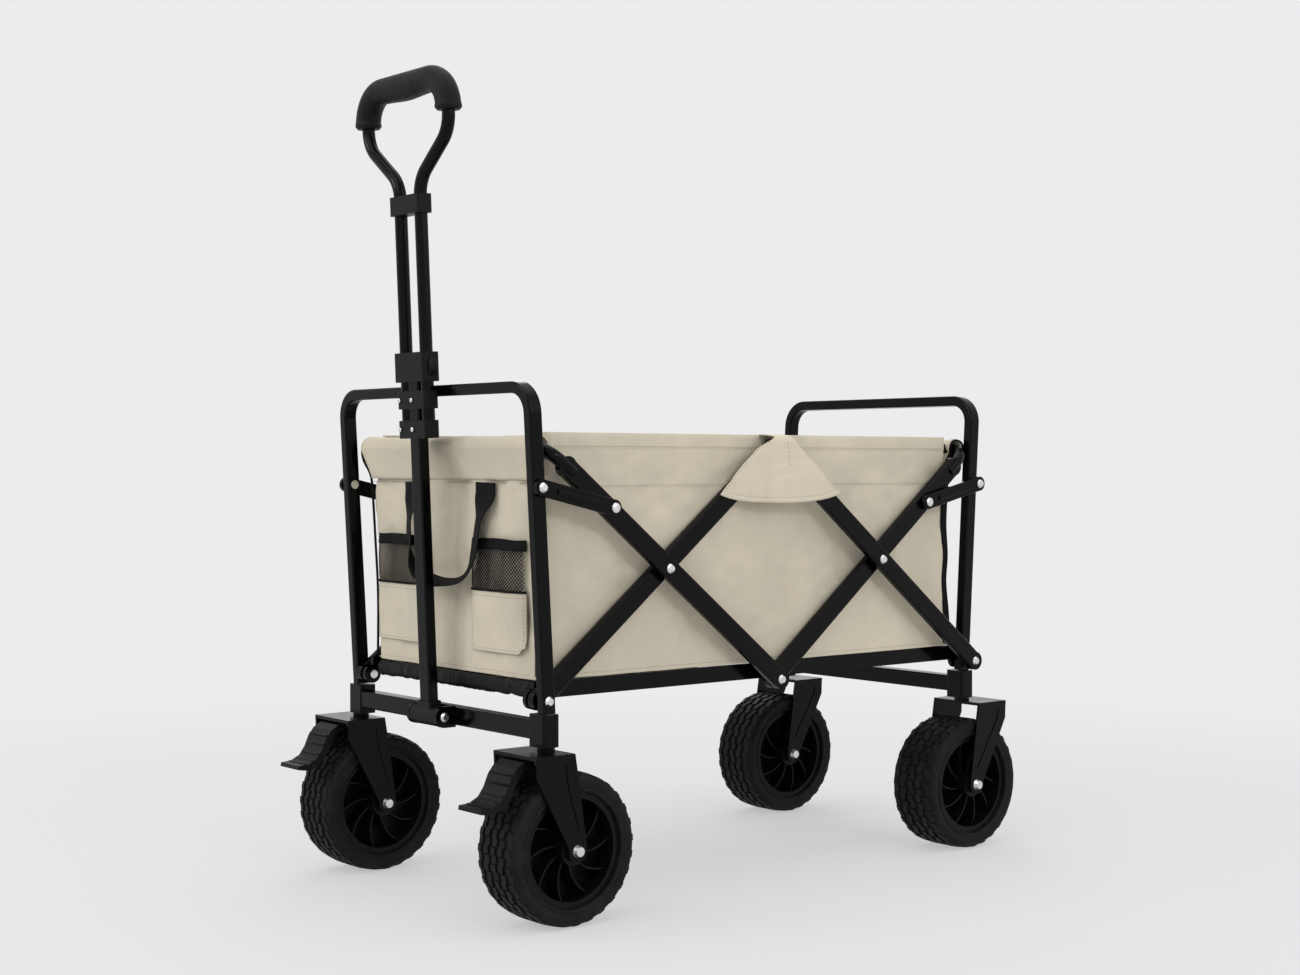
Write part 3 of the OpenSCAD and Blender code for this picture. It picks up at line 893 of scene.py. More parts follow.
def make_walls():
    cloth = settings().cloth
    outline = tub_outline(WALL_COLUMNS)
    rows = wall_rows()
    x = np.broadcast_to(outline[:, 0], (len(rows), len(outline)))
    y = np.broadcast_to(outline[:, 1], (len(rows), len(outline)))
    top = wall_tops(outline[:, 0], outline[:, 1])
    share = (rows - rows[0]) / (rows[-1] - rows[0])
    z = np.where(
        rows[:, None] < 0.50,
        np.broadcast_to(rows[:, None], x.shape),
        0.50 + (rows[:, None] - 0.50) * (top[None, :] - 0.50) / 0.073,
    )
    z = np.where(share[:, None] <= 0, rows[0], z)
    new_x, new_y = wall_points(x, y, z)
    outer = np.stack([new_x, new_y, z], axis=2)
    points, faces = cloth_shell(outer, cloth.thickness, around=True)
    walls = make_piece("tub_walls", points, faces, finish("canvas"))
    on_tub(walls, "canvas", "tub_side_left", "tub_side_right", "tub_front", "tub_rear")
    make_sleeve("front_sleeve", FRONT_RIM_Y, FRONT_WALL_Y, -1.0, 0.1885, 0.1830)
    make_sleeve("rear_sleeve", REAR_RIM_Y, REAR_WALL_Y, 1.0, 0.1720, 0.1560)
    make_wall_seams()
    make_bindings()


def sleeve_section(rim_y, wall_y, outward, radius):
    """Teardrop round the rim crosspiece, from the outer seam over the top to the inner one."""
    seam = 0.5165
    outer = [(wall_y + outward * 0.0016, seam), (wall_y + outward * 0.0018, seam + 0.004)]
    inner = [(wall_y - outward * 0.0030, seam + 0.004), (wall_y - outward * 0.0028, seam)]
    arc = []
    for turn in np.linspace(-20.0, 200.0, 19):
        angle = math.radians(turn)
        arc.append(
            (rim_y + outward * radius * math.cos(angle), RIM_Z + 0.0012 + radius * math.sin(angle))
        )
    return np.array(outer + arc + inner)


def make_sleeve(name, rim_y, wall_y, outward, high_end, low_end):
    """The sleeve of the end wall that holds the rim crosspiece."""
    cloth = settings().cloth
    across = np.linspace(-1.0, 1.0, 121)
    grid = []
    for share in across:
        end = smooth_step(abs(share), 0.90, 1.0)
        radius = 0.0108 + 0.0024 * end
        section = sleeve_section(rim_y, wall_y, outward, radius)
        rise = smooth_step(section[:, 1], 0.518, 0.552)
        reach = low_end + (high_end - low_end) * rise
        x = share * reach
        wave = 0.0005 * ripple(x, section[:, 1], 21, 0.05)
        pull = 0.0016 * end * smooth_step(section[:, 1], 0.53, 0.56)
        corner = np.maximum(np.abs(x) - 0.175, 0.0) ** 2 / 0.060 * rise
        y = section[:, 0] + outward * (wave - pull - corner * 0.78)
        z = section[:, 1] + wave * 0.8 - corner * 0.62 - 0.0006 * ripple(x, 0.0, 25, 0.11) * rise
        grid.append(np.stack([x, y, z], axis=1))
    outer = np.array(grid)
    if outward > 0:
        outer = outer[::-1]
    points, faces = cloth_shell(outer, cloth.thickness)
    sleeve = make_piece(name, points, faces, finish("canvas"))
    place = "front" if outward < 0 else "rear"
    on_tub(sleeve, "canvas", place=place)
    seams = []
    for level in (0.5205, 0.5125):
        x = np.linspace(-low_end + 0.003, low_end - 0.003, 60)
        y = np.full_like(x, wall_y + outward * 0.0017)
        z = level + 0.0006 * ripple(x, 0.0, 31, 0.09)
        if level < 0.515:
            y = np.full_like(x, wall_y + outward * 0.0004)
        out = np.tile([0.0, outward, 0.0], (len(x), 1))
        seams.append((np.stack([x, y, z], axis=1), out))
    sew_on(name + "_stitching", seams, cloth.stitch, place=place)


def side_line(side, level, low_y, high_y, count=150, proud=0.0):
    """Points on the outside of a side wall along a level, and the outward directions."""
    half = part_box("tub_side_right")[1].x - 0.0006
    y = np.linspace(low_y, high_y, count)
    x = np.full_like(y, side * half)
    z = np.full_like(y, level)
    new_x, new_y = wall_points(x, y, z)
    points = np.stack([new_x + side * proud, new_y, z], axis=1)
    return points, np.tile([side, 0.0, 0.0], (count, 1))


def make_wall_seams():
    """Stitching of the top hem and of the seam under it, on both side walls."""
    cloth = settings().cloth
    low, high = FRONT_WALL_Y + 0.02, REAR_WALL_Y - 0.012
    seams = []
    for side in (-1.0, 1.0):
        seams.append(side_line(side, 0.5568, low, high))
        seams.append(side_line(side, 0.5094, low, high))
        seams.append(side_line(side, 0.2860, low, high))
    level = 0.2865
    x = np.linspace(-0.165, 0.165, 90)
    y = np.full_like(x, FRONT_WALL_Y)
    new_x, new_y = wall_points(np.append(x, 0.1829), np.append(y, 0.0), np.full(91, level))
    out = np.tile([0.0, -1.0, 0.0], (90, 1))
    seams.append((np.stack([new_x[:-1], new_y[:-1], np.full(90, level)], axis=1), out))
    sew_on("wall_stitching", seams, cloth.stitch)


def make_bindings():
    """Black tape on the four upright corners of the tub."""
    for side, tag in ((-1.0, "left"), (1.0, "right")):
        low = 0.1715 if side < 0 else 0.1838
        corners = [
            (side * 0.1880, FRONT_RIM_Y - 0.0035, 0.5620),
            (side * 0.1895, FRONT_RIM_Y - 0.0075, 0.5540),
            (side * 0.1885, FRONT_RIM_Y - 0.0062, 0.5400),
            (side * 0.1850, FRONT_WALL_Y - 0.0022, 0.5220),
            (side * 0.1836, FRONT_WALL_Y + 0.0002, 0.5020),
            (side * (low + 0.0060), FRONT_WALL_Y + 0.0010, 0.4350),
            (side * low, FRONT_WALL_Y + 0.0012, 0.3650),
            (side * low, FRONT_WALL_Y + 0.0010, 0.2860),
        ]
        path = smooth_path(corners, 70)
        across = np.tile([side * 0.8, 0.6, 0.0], (70, 1))
        tape_on(f"front_binding_{tag}", path, across, 0.0075, 0.0026, "front")
        corners = [
            (side * 0.1790, REAR_WALL_Y - 0.012, 0.5300),
            (side * 0.1775, REAR_WALL_Y - 0.0105, 0.5000),
            (side * 0.1768, REAR_WALL_Y - 0.0135, 0.4560),
            (side * 0.1766, REAR_WALL_Y - 0.0100, 0.4080),
            (side * 0.1766, REAR_WALL_Y - 0.0128, 0.3700),
            (side * 0.1768, REAR_WALL_Y - 0.0070, 0.3200),
            (side * 0.1772, REAR_WALL_Y - 0.0080, 0.2850),
        ]
        path = smooth_path(corners, 70)
        across = np.tile([-side * 0.1, 1.0, 0.0], (70, 1))
        tape_on(f"rear_binding_{tag}", path, across, 0.0120, 0.0024, "rear")


# ---------------------------------------------------------------- flaps


def flap_grid(side):
    """The patch over the upper crossing of the bars: a bridge from the hem, then a fan."""
    hem_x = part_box("tub_side_right")[1].x + 0.0006
    out_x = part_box("flap_right")[1].x - 0.0012
    top, peak, steps = 0.5738, 0.5712, 40
    bridge = np.linspace(0.0, 1.0, FLAP_BRIDGE, endpoint=False)
    over = np.concatenate([bridge, np.ones(steps)])[:, None]
    down = np.concatenate([np.zeros(FLAP_BRIDGE), np.linspace(0.0, 1.0, steps)])[:, None]
    share = np.linspace(-1.0, 1.0, 61)[None, :]
    foot = 0.4860 + 0.0110 * np.abs(share) ** 2.4
    z = peak + (top - peak) * (1 - over**2) + (foot - peak) * down
    half = np.maximum(0.0066, 0.0241 + 1.257 * (RIM_Z - z)) + 0.0020 * (1 - over)
    cover = 0.0090 * smooth_step(-share, 0.0, 0.5) + 0.0065 * smooth_step(share, 0.0, 0.5)
    ahead = cover * (1 - smooth_step(down, 0.45, 1.0))
    y = MID_Y + share * (half + ahead)
    bend = smooth_step(down, 0.0, 0.07)
    crown = 0.0016 * np.sin(math.pi * down) * (1 - share**2)
    tuck = 0.0142 * smooth_step(MID_Y - y, 0.0125, 0.034)
    cone = 0.0011 * hump(share, 0.12, 0.10) * (1 - down) - 0.0012 * hump(share, 0.30, 0.07) * down
    crease = 0.0008 * ripple(y, z, 41, 0.05) + 0.0004 * ripple(y, z, 43, 0.018)
    lip = 0.0007 * smooth_step(down, 0.935, 0.95)
    lift = over * (crown - tuck * bend + (cone + crease) * bend + lip)
    x = hem_x + (out_x - 0.0030 - hem_x) * over + 0.0030 * bend + lift
    return np.stack([side * x, y, np.broadcast_to(z, x.shape)], axis=2)


def make_flap(side, tag):
    cloth = settings().cloth
    grid = flap_grid(side)
    outer = grid if side < 0 else grid[:, ::-1]
    points, faces = cloth_shell(outer, cloth.thickness)
    flap = make_piece(f"flap_{tag}_cloth", points, faces, finish("canvas"))
    on_tub(flap, "canvas", f"flap_{tag}")
    normal = grid_normals(outer)
    normal = normal if side < 0 else normal[:, ::-1]
    first, last = FLAP_BRIDGE + 3, len(grid) - 2
    hem = last - 2
    seams = [(grid[hem, 2:-2], normal[hem, 2:-2])]
    seams.append((grid[first:last, 1], normal[first:last, 1]))
    seams.append((grid[first : first + 16, 34], normal[first : first + 16, 34]))
    seams.append((grid[first:last, -2], normal[first:last, -2]))
    sew_on(f"flap_{tag}_stitching", seams, cloth.stitch * 0.9)


# ---------------------------------------------------------------- pockets


def pocket_surface(centre, x_share, z):
    """Outer face of a pocket: x_share runs from -1 to 1 across it, z is the height."""
    low, high = 0.3095, 0.4455
    rise = (z - low) / (high - low)
    body = (1 - np.abs(x_share) ** 6) * (0.35 + 0.65 * smooth_step(rise, 0.0, 0.35))
    deep = 0.0075 * body * (1 - 0.25 * smooth_step(rise, 0.8, 1.0))
    wave = 0.0010 * ripple(x_share * 0.058 + centre, z, 51, 0.05) * body
    gather = 0.0016 * hump(x_share, 0.42, 0.10) * body - 0.0016 * hump(x_share, -0.35, 0.13) * body
    x = centre + x_share * (0.0575 - 0.0015 * smooth_step(rise, 0.3, 1.0))
    y = FRONT_WALL_Y - 0.0012 - deep - wave - gather
    return np.stack(
        [np.broadcast_to(x, np.shape(y)), y, np.broadcast_to(z, np.shape(y))], axis=-1
    )


def make_pocket(centre, tag):
    cloth = settings().cloth
    share = np.linspace(-1.0, 1.0, 57)
    levels = np.concatenate([[0.3095, 0.3105], np.linspace(0.313, 0.3795, 24), [0.3815, 0.3830]])
    grid = np.array([pocket_surface(centre, share, np.full_like(share, z)) for z in levels])
    corner = smooth_step(share, 0.72, 0.97)
    for i, z in enumerate(levels):
        curl = (1 - smooth_step(z, 0.309, 0.332)) * corner
        grid[i, :, 2] += 0.008 * curl
        grid[i, :, 1] -= 0.0045 * curl * (1 - corner * 0.5)
    points, faces = cloth_shell(grid, cloth.thickness * 0.8)
    pouch = make_piece(f"pocket_{tag}_pouch", points, faces, finish("canvas"))
    on_tub(pouch, "canvas", f"pocket_{tag}", place="front")
    normal = grid_normals(grid)
    seams = [(grid[2, 2:-2], normal[2, 2:-2]), (grid[-4, 1:-1], normal[-4, 1:-1])]
    seams.append((grid[2:-2, 2], normal[2:-2, 2]))
    seams.append((grid[2:-2, -3], normal[2:-2, -3]))
    sew_on(f"pocket_{tag}_stitching", seams, cloth.stitch * 0.9, place="front")
    make_net(centre, tag)
    band = pocket_surface(centre, np.linspace(-1, 1, 61), np.full(61, 0.4395))
    hollow = ripple(np.linspace(-0.06, 0.06, 61), 0.0, 57, 0.07)
    band[:, 2] += 0.0012 * hollow
    leaning = np.tile([0.0, 0.12, 1.0], (61, 1))
    tape_on(f"pocket_{tag}_band", band, leaning, 0.0132, 0.0026, "front")
    foot = pocket_surface(centre, np.linspace(-1, 1, 61), np.full(61, 0.3838))
    foot[:, 1] -= 0.0004
    upright = np.tile([0.0, 0.0, 1.0], (61, 1))
    tape_on(f"pocket_{tag}_edge", foot, upright, 0.0030, 0.0020, "front")


def make_net(centre, tag):
    """Diamond net of the upper pocket, thread by thread."""
    pitch = settings().cloth.mesh_size
    low, high, half = 0.3835, 0.4360, 0.0560
    height = high - low
    points, faces = [], []
    thick = 0.00068
    starts = np.arange(-half * 2 - height, half * 2 + height, pitch * 1.4142)
    for lean in (-1.0, 1.0):
        for start in starts:
            z = np.linspace(low, high, 16)
            x = start + lean * (z - low)
            keep = (x > -half) & (x < half)
            if keep.sum() < 3:
                continue
            x, z = x[keep], z[keep]
            at = pocket_surface(centre, x / 0.0575, z)
            at[:, 1] += lean * 0.0003 - 0.0006 * hump(x, -0.030, 0.012)
            along = path_frames(at)
            out = np.tile([0.0, -1.0, 0.0], (len(at), 1))
            side = np.cross(along, out)
            rings = [
                [p + s * thick * a + o * thick * 0.7 * b for a, b in NET_SECTION]
                for p, s, o in zip(at, side, out)
            ]
            more, quads = lofted(rings)
            base = len(points)
            points += list(more)
            faces += [tuple(base + i for i in quad) for quad in quads]
    net = make_piece(f"pocket_{tag}_net", points, faces, finish("net"))
    on_tub(net, "webbing", place="front")


# ---------------------------------------------------------------- carry loop


def make_carry_loop():
    """Webbing loop sewn to the front wall, which turns on edge at the bottom."""
    half = [
        (0.0795, FRONT_WALL_Y - 0.0018, 0.5130),
        (0.0790, FRONT_WALL_Y - 0.0024, 0.4950),
        (0.0772, FRONT_WALL_Y - 0.0110, 0.4650),
        (0.0725, FRONT_WALL_Y - 0.0130, 0.4350),
        (0.0600, FRONT_WALL_Y - 0.0135, 0.4080),
        (0.0380, FRONT_WALL_Y - 0.0135, 0.3940),
        (0.0000, FRONT_WALL_Y - 0.0135, 0.3890),
    ]
    corners = half + [(-x, y, z) for x, y, z in half[-2::-1]]
    path = smooth_path(corners, 120)
    share = np.linspace(0.0, 1.0, 120)
    turn = np.zeros(120)
    twists = ((22, 0.05, 0.14), (48, 0.24, 0.46), (88, 0.58, 0.80), (22, 0.86, 0.95))
    for degrees, low, high in twists:
        turn -= np.radians(degrees) * smooth_step(share, low, high)
    along = path_frames(path)
    flat = np.cross(along, np.tile([0.0, -1.0, 0.0], (120, 1)))
    flat = flat / np.linalg.norm(flat, axis=1, keepdims=True)
    out = np.cross(flat, along)
    across = flat * np.cos(turn)[:, None] + out * np.sin(turn)[:, None]
    width = 0.041 - 0.015 * smooth_step(share, 0.04, 0.16) * (1 - smooth_step(share, 0.84, 0.96))
    points, faces, uvs = strap_mesh(path, across, width, 0.0017)
    loop = make_piece("carry_webbing", points, faces, finish("webbing"), uvs=uvs)
    on_tub(loop, "webbing", "carry_loop")
    seams = []
    for side in (-1.0, 1.0):
        middle = side * 0.079
        y = FRONT_WALL_Y - 0.0026
        box = [
            (middle - 0.011, y, 0.510),
            (middle + 0.011, y, 0.510),
            (middle + 0.010, y, 0.499),
            (middle - 0.012, y, 0.499),
            (middle - 0.011, y, 0.510),
        ]
        for a, b in zip(box, box[1:]):
            line = np.linspace(a, b, 8)
            seams.append((line, np.tile([0.0, -1.0, 0.0], (8, 1))))
    sew_on("carry_stitching", seams, 0.0026, "webbing", "net", "front")


# ---------------------------------------------------------------- mats


def make_mat(node, body):
    """Fabric covered floor board with a soft face and a sewn border."""
    cloth = settings().cloth
    low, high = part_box(node)
    inset = 0.0006
    rows, columns = 48, 48
    a = np.linspace(-1.0, 1.0, columns)
    a = np.sign(a) * (1 - (1 - np.abs(a)) ** 1.35)
    gx, gy = np.meshgrid(a, a)
    border = np.maximum(np.abs(gx), np.abs(gy))
    half_x = (high.x - low.x) / 2 - inset
    half_y = (high.y - low.y) / 2 - inset
    mid_x, mid_y = (high.x + low.x) / 2, (high.y + low.y) / 2
    x, y = mid_x + gx * half_x, mid_y + gy * half_y
    thick = high.z - low.z
    pad = 0.35 + 0.65 * (1 - smooth_step(border, 0.93, 1.0))
    groove = hump(border, 0.925, 0.008)
    quilt = 0.0006 * ripple(x, y, 61, 0.06)
    top = low.z + thick * pad - 0.0016 * groove + quilt - 0.0008
    bottom = low.z + thick * 0.35 * smooth_step(border, 0.96, 1.0)
    upper = np.stack([x, y, top], axis=2)
    lower = np.stack([x, y, np.minimum(bottom, top - 0.001)], axis=2)
    count = rows * columns
    points = np.concatenate([upper.reshape(-1, 3), lower.reshape(-1, 3)])
    faces = grid_faces(rows, columns) + grid_faces(rows, columns, count, flip=True)
    for j in range(columns - 1):
        faces.append((j + 1, j, count + j, count + j + 1))
        k = (rows - 1) * columns + j
        faces.append((k, k + 1, count + k + 1, count + k))
    for i in range(rows - 1):
        k, m = i * columns, (i + 1) * columns
        faces.append((k, m, count + m, count + k))
        k, m = k + columns - 1, m + columns - 1
        faces.append((m, k, count + k, count + m))
    mat = make_piece(node + "_pad", points, faces, finish("canvas_floor"))
    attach(mat, body)
    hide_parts(node)
    line = []
    for sx, sy in ((-1, -1), (1, -1), (1, 1), (-1, 1), (-1, -1)):
        line.append(
            (mid_x + sx * half_x * 0.925, mid_y + sy * half_y * 0.925, high.z - 0.0024)
        )
    seams = [
        (np.linspace(p, q, 30), np.tile([0.0, 0.0, 1.0], (30, 1)))
        for p, q in zip(line, line[1:])
    ]
    points, faces = stitch_mesh(seams, cloth.stitch)
    border_seam = make_piece(node + "_stitching", points, faces, finish("thread"))
    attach(border_seam, body)


# ---------------------------------------------------------------- tyres


def tread_radius(x, radius):
    """Radius of the tread at a distance from the middle of the tyre."""
    return radius - 0.0018 * smooth_step(np.abs(x), 0.016, 0.036)


def tyre_mesh(radius, half, seat):
    """Points and faces of one tyre round the X axis: a carcass and its raised lugs."""
    wheels = settings().wheels
    deep = wheels.depth
    base = radius - deep
    right = [
        (seat, half - 0.006),
        (seat + 0.0004, half - 0.0018),
        (seat + 0.0022, half - 0.0002),
        (seat + 0.0042, half - 0.0006),
        (seat + 0.0048, half - 0.0014),
        (seat + 0.0062, half - 0.0012),
        (seat + 0.0105, half - 0.0001),
        (seat + 0.0145, half - 0.0003),
        (seat + 0.0168, half - 0.0012),
        (base - 0.0012, half - 0.0030),
        (base - 0.0004, half - 0.0048),
        (base, half - 0.0085),
        (base, 0.020),
        (base, 0.007),
    ]
    profile = right + [(r, -x) for r, x in right[::-1]]
    turns = 144
    rings = []
    for i in range(turns):
        angle = math.tau * i / turns
        rings.append(
            [(x, r * math.sin(angle), r * math.cos(angle)) for r, x in profile]
        )
    rings = np.array(rings)
    count = len(profile)
    points = list(rings.reshape(-1, 3))
    faces = []
    for i in range(turns):
        k = (i + 1) % turns
        for j in range(count):
            m = (j + 1) % count
            faces.append((i * count + j, i * count + m, k * count + m, k * count + j))
    pitch = math.tau / wheels.lugs
    long = pitch * radius
    row_gap = (2 * half - 0.004) / wheels.rows
    shape = [
        (-0.455, -0.41),
        (-0.09, -0.41),
        (0.09, -0.19),
        (0.455, -0.19),
        (0.455, 0.41),
        (0.09, 0.41),
        (-0.09, 0.19),
        (-0.455, 0.19),
    ]
    for row in range(wheels.rows):
        middle = (row - (wheels.rows - 1) / 2) * row_gap
        outer_row = row in (0, wheels.rows - 1)
        hand = 1.0 if row % 2 else -1.0
        offset = 0.5 * (row % 2)
        for lug in range(wheels.lugs):
            centre = (lug + offset) * pitch
            first = len(points)
            for grow, level in ((1.0 - 0.07, 0.0), (1.0, -0.0005), (1.07, -deep - 0.0006)):
                for t, s in shape:
                    angle = centre + t * grow * long / radius
                    across = middle + hand * s * grow * row_gap
                    if outer_row:
                        across = middle + hand * s * grow * row_gap * 0.92
                    r = float(tread_radius(across, radius)) + level
                    points.append((across, r * math.sin(angle), r * math.cos(angle)))
            quads = [(0, 1, 6, 7), (1, 2, 5, 6), (2, 3, 4, 5)]
            for quad in quads:
                faces.append(tuple(first + i for i in (quad if hand < 0 else quad[::-1])))
            for ring in (0, 8):
                for j in range(8):
                    m = (j + 1) % 8
                    quad = (
                        first + ring + j,
                        first + ring + 8 + j,
                        first + ring + 8 + m,
                        first + ring + m,
                    )
                    faces.append(quad if hand < 0 else quad[::-1])
            floor = tuple(first + 16 + j for j in range(8))
            faces.append(floor[::-1] if hand < 0 else floor)
    return points, faces


def make_tyre(node, body):
    low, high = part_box(node)
    centre = (low + high) / 2
    radius, half = (high.z - low.z) / 2, (high.x - low.x) / 2
    seat = (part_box(node.replace("tyre", "wheel"))[1].z - centre.z) - 0.0002
    points, faces = tyre_mesh(radius, half, min(seat, radius - 0.018))
    points = np.asarray(points) + np.array(centre)
    tyre = make_piece(node + "_rubber", points, faces, finish("rubber"))
    auto_smooth(tyre, 35.0)
    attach(tyre, body)
    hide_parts(node)


def auto_smooth(piece, angle):
    """Faces that meet at more than the angle keep a sharp edge."""
    bpy.context.view_layer.objects.active = piece
    for other in bpy.context.selected_objects:
        other.select_set(False)
    piece.select_set(True)
    bpy.ops.object.shade_smooth_by_angle(angle=math.radians(angle))
    piece.select_set(False)


# ---------------------------------------------------------------- grip


def on_handle(x, y, z):
    """A point given as if the handle stood upright over its pivot, put on the leaning handle."""
    local = Vector((x, y, z - HANDLE_PIVOT.z))
    return HANDLE_PIVOT + Matrix.Rotation(HANDLE_LEAN, 3, "X") @ local


def make_grip():
    """Foam grip over the bent rod, fuller under the middle, with flutes at both ends."""
    bend, reach, top, foot = 0.038, 0.090, 0.997, 0.955
    line = [(-reach, z) for z in np.linspace(foot, top - bend, 5)]
    for turn in np.linspace(180.0, 90.0, 22):
        angle = math.radians(turn)
        line.append(
            (-reach + bend + bend * math.cos(angle), top - bend + bend * math.sin(angle))
        )
    line += [(x, top) for x in np.linspace(-reach + bend, reach - bend, 60)[1:-1]]
    line += [(-x, z) for x, z in line[:27][::-1]]
    line = np.array(line)
    steps = np.concatenate([[0.0], np.cumsum(np.linalg.norm(np.diff(line, axis=0), axis=1))])
    count = 220
    even = np.linspace(0.0, steps[-1], count)
    line = np.stack([np.interp(even, steps, line[:, k]) for k in range(2)], axis=1)
    along = np.gradient(line, axis=0)
    along = along / np.linalg.norm(along, axis=1, keepdims=True)
    side = np.stack([-along[:, 1], along[:, 0]], axis=1)
    turns = 72
    middle = steps[-1] / 2
    rings = []
    for i in range(count):
        from_end = min(even[i], steps[-1] - even[i])
        ring = []
        for j in range(turns):
            angle = math.tau * j / turns
            inward = -math.cos(angle)
            r = 0.0158
            r -= 0.0034 * (1 - float(smooth_step(from_end, 0.0, 0.0032))) * 0.55
            r += 0.0006 * float(hump(from_end, 0.0045, 0.0028))
            flute = float(smooth_step(from_end, 0.006, 0.010))
            flute *= 1 - float(smooth_step(from_end, 0.024, 0.034))
            r -= 0.00045 * flute * (0.5 + 0.5 * math.cos(14 * angle))
            swell = float(hump(even[i], middle, 0.034))
            r += 0.0030 * swell * max(0.0, inward) ** 1.5
            for place in (-0.030, -0.012, 0.012, 0.030):
                arc = place * (1.0 + 0.25 * math.sin(angle))
                under = 0.4 + 0.6 * max(0.0, inward + 0.5) / 1.5
                r -= 0.00055 * float(hump(even[i] - middle, arc, 0.0011)) * under
            offset = side[i] * math.cos(angle) * r
            ring.append(
                on_handle(line[i, 0] + offset[0], -math.sin(angle) * r, line[i, 1] + offset[1])
            )
        rings.append(ring)
    rings = np.array([[tuple(p) for p in ring] for ring in rings])
    centre = rings.mean(axis=1, keepdims=True)
    start = centre[:1] + (rings[:1] - centre[:1]) * 0.55
    end = centre[-1:] + (rings[-1:] - centre[-1:]) * 0.55
    points, faces = lofted(np.concatenate([start, rings, end]))
    grip = make_piece("grip_foam_cover", points, faces, finish("foam"))
    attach(grip, "handle_slider")
    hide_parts("handle_grip")


# ---------------------------------------------------------------- small metal and hems


def dome_rings(centre, axis, radius, height, turns=24):
    """Rings of a low dome that stands on a point and faces along the axis."""
    axis = Vector(axis).normalized()
    side = axis.orthogonal().normalized()
    other = axis.cross(side)
    profile = [
        (0.96, -0.5),
        (1.0, 0.0),
        (1.0, 0.35),
        (0.93, 0.62),
        (0.72, 0.86),
        (0.42, 0.97),
        (0.12, 1.0),
    ]
    rings = []
    for share, rise in profile:
        ring = []
        for j in range(turns):
            angle = math.tau * j / turns
            around = side * math.cos(angle) + other * math.sin(angle)
            ring.append(tuple(Vector(centre) + around * radius * share + axis * height * rise))
        rings.append(ring)
    return rings


def make_head(name, body, centre, axis, radius, height):
    points, faces = lofted(dome_rings(centre, axis, radius, height))
    head = make_piece(name, points, faces, finish("steel"))
    auto_smooth(head, 40.0)
    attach(head, body)


def make_heads():
    """Rivet heads at the bar ends of the stays and screw heads on the handle guides."""
    for side, tag in ((-1.0, "left"), (1.0, "right")):
        axis = (side, 0.0, 0.0)
        front = (side * 0.2216, MID_Y - 0.2810, 0.4835)
        rear = (side * 0.2056, MID_Y + 0.2810, 0.4835)
        make_head(f"front_stay_rivet_{tag}", "front_stays", front, axis, 0.0062, 0.0026)
        make_head(f"rear_stay_rivet_{tag}", "rear_stays", rear, axis, 0.0062, 0.0026)
    facing = Matrix.Rotation(HANDLE_LEAN, 3, "X") @ Vector((0.0, -1.0, 0.0))
    for level, body, tag in ((0.614, "handle", "upper"), (0.578, "handle_slider", "lower")):
        for number, x in enumerate((-SCREW_X, 0.002)):
            spot = on_handle(x, -0.0112, level)
            make_head(f"{tag}_clamp_screw_{number}", body, spot, facing, 0.0029, 0.0012)


def make_front_hem():
    """Glossy rolled hem of the floor cover, hanging under the front wall."""
    count = 120
    x = np.linspace(-0.166, 0.178, count)
    ends = smooth_step(x, -0.166, -0.158) * (1 - smooth_step(x, 0.170, 0.178))
    rings = []
    for i in range(count):
        wave = 0.0007 * float(ripple(x[i], 0.0, 71, 0.022)) + 0.0005 * float(
            ripple(x[i], 0.3, 73, 0.009)
        )
        tall = 0.0098 * (0.55 + 0.45 * ends[i])
        deep = 0.0056 * (0.55 + 0.45 * ends[i]) + wave
        ring = []
        for j in range(20):
            angle = math.tau * j / 20
            ring.append(
                (
                    x[i],
                    FRONT_WALL_Y - 0.0006 - deep * math.cos(angle),
                    0.2705 + wave + tall * math.sin(angle),
                )
            )
        rings.append(ring)
    points, faces = lofted(np.array(rings)[::-1])
    hem = make_piece("front_rolled_hem", points, faces, finish("plastic"))
    on_tub(hem, "webbing", place="front")


def make_corner_loop(name, x, y, side, outward):
    """Open end of the sleeve: a short fabric ring round the rim corner."""
    turns, rings = 40, []
    for along, grow in ((0.0, 0.0), (0.004, 0.0006), (0.010, 0.0008), (0.0135, 0.0002)):
        ring = []
        for j in range(turns):
            angle = math.tau * j / turns
            radius = 0.0120 + grow + 0.0009 * math.sin(2 * angle + 0.6)
            ring.append(
                (
                    x + side * along,
                    y + outward * radius * math.cos(angle),
                    RIM_Z + radius * math.sin(angle),
                )
            )
        rings.append(ring)
    grid = np.array(rings)
    grid = grid if side < 0 else grid[::-1]
    points, faces = cloth_shell(grid, 0.0022, around=True)
    loop = make_piece(name, points, faces, finish("binding"))
    on_tub(loop, "webbing", place="rear")


# ---------------------------------------------------------------- operators


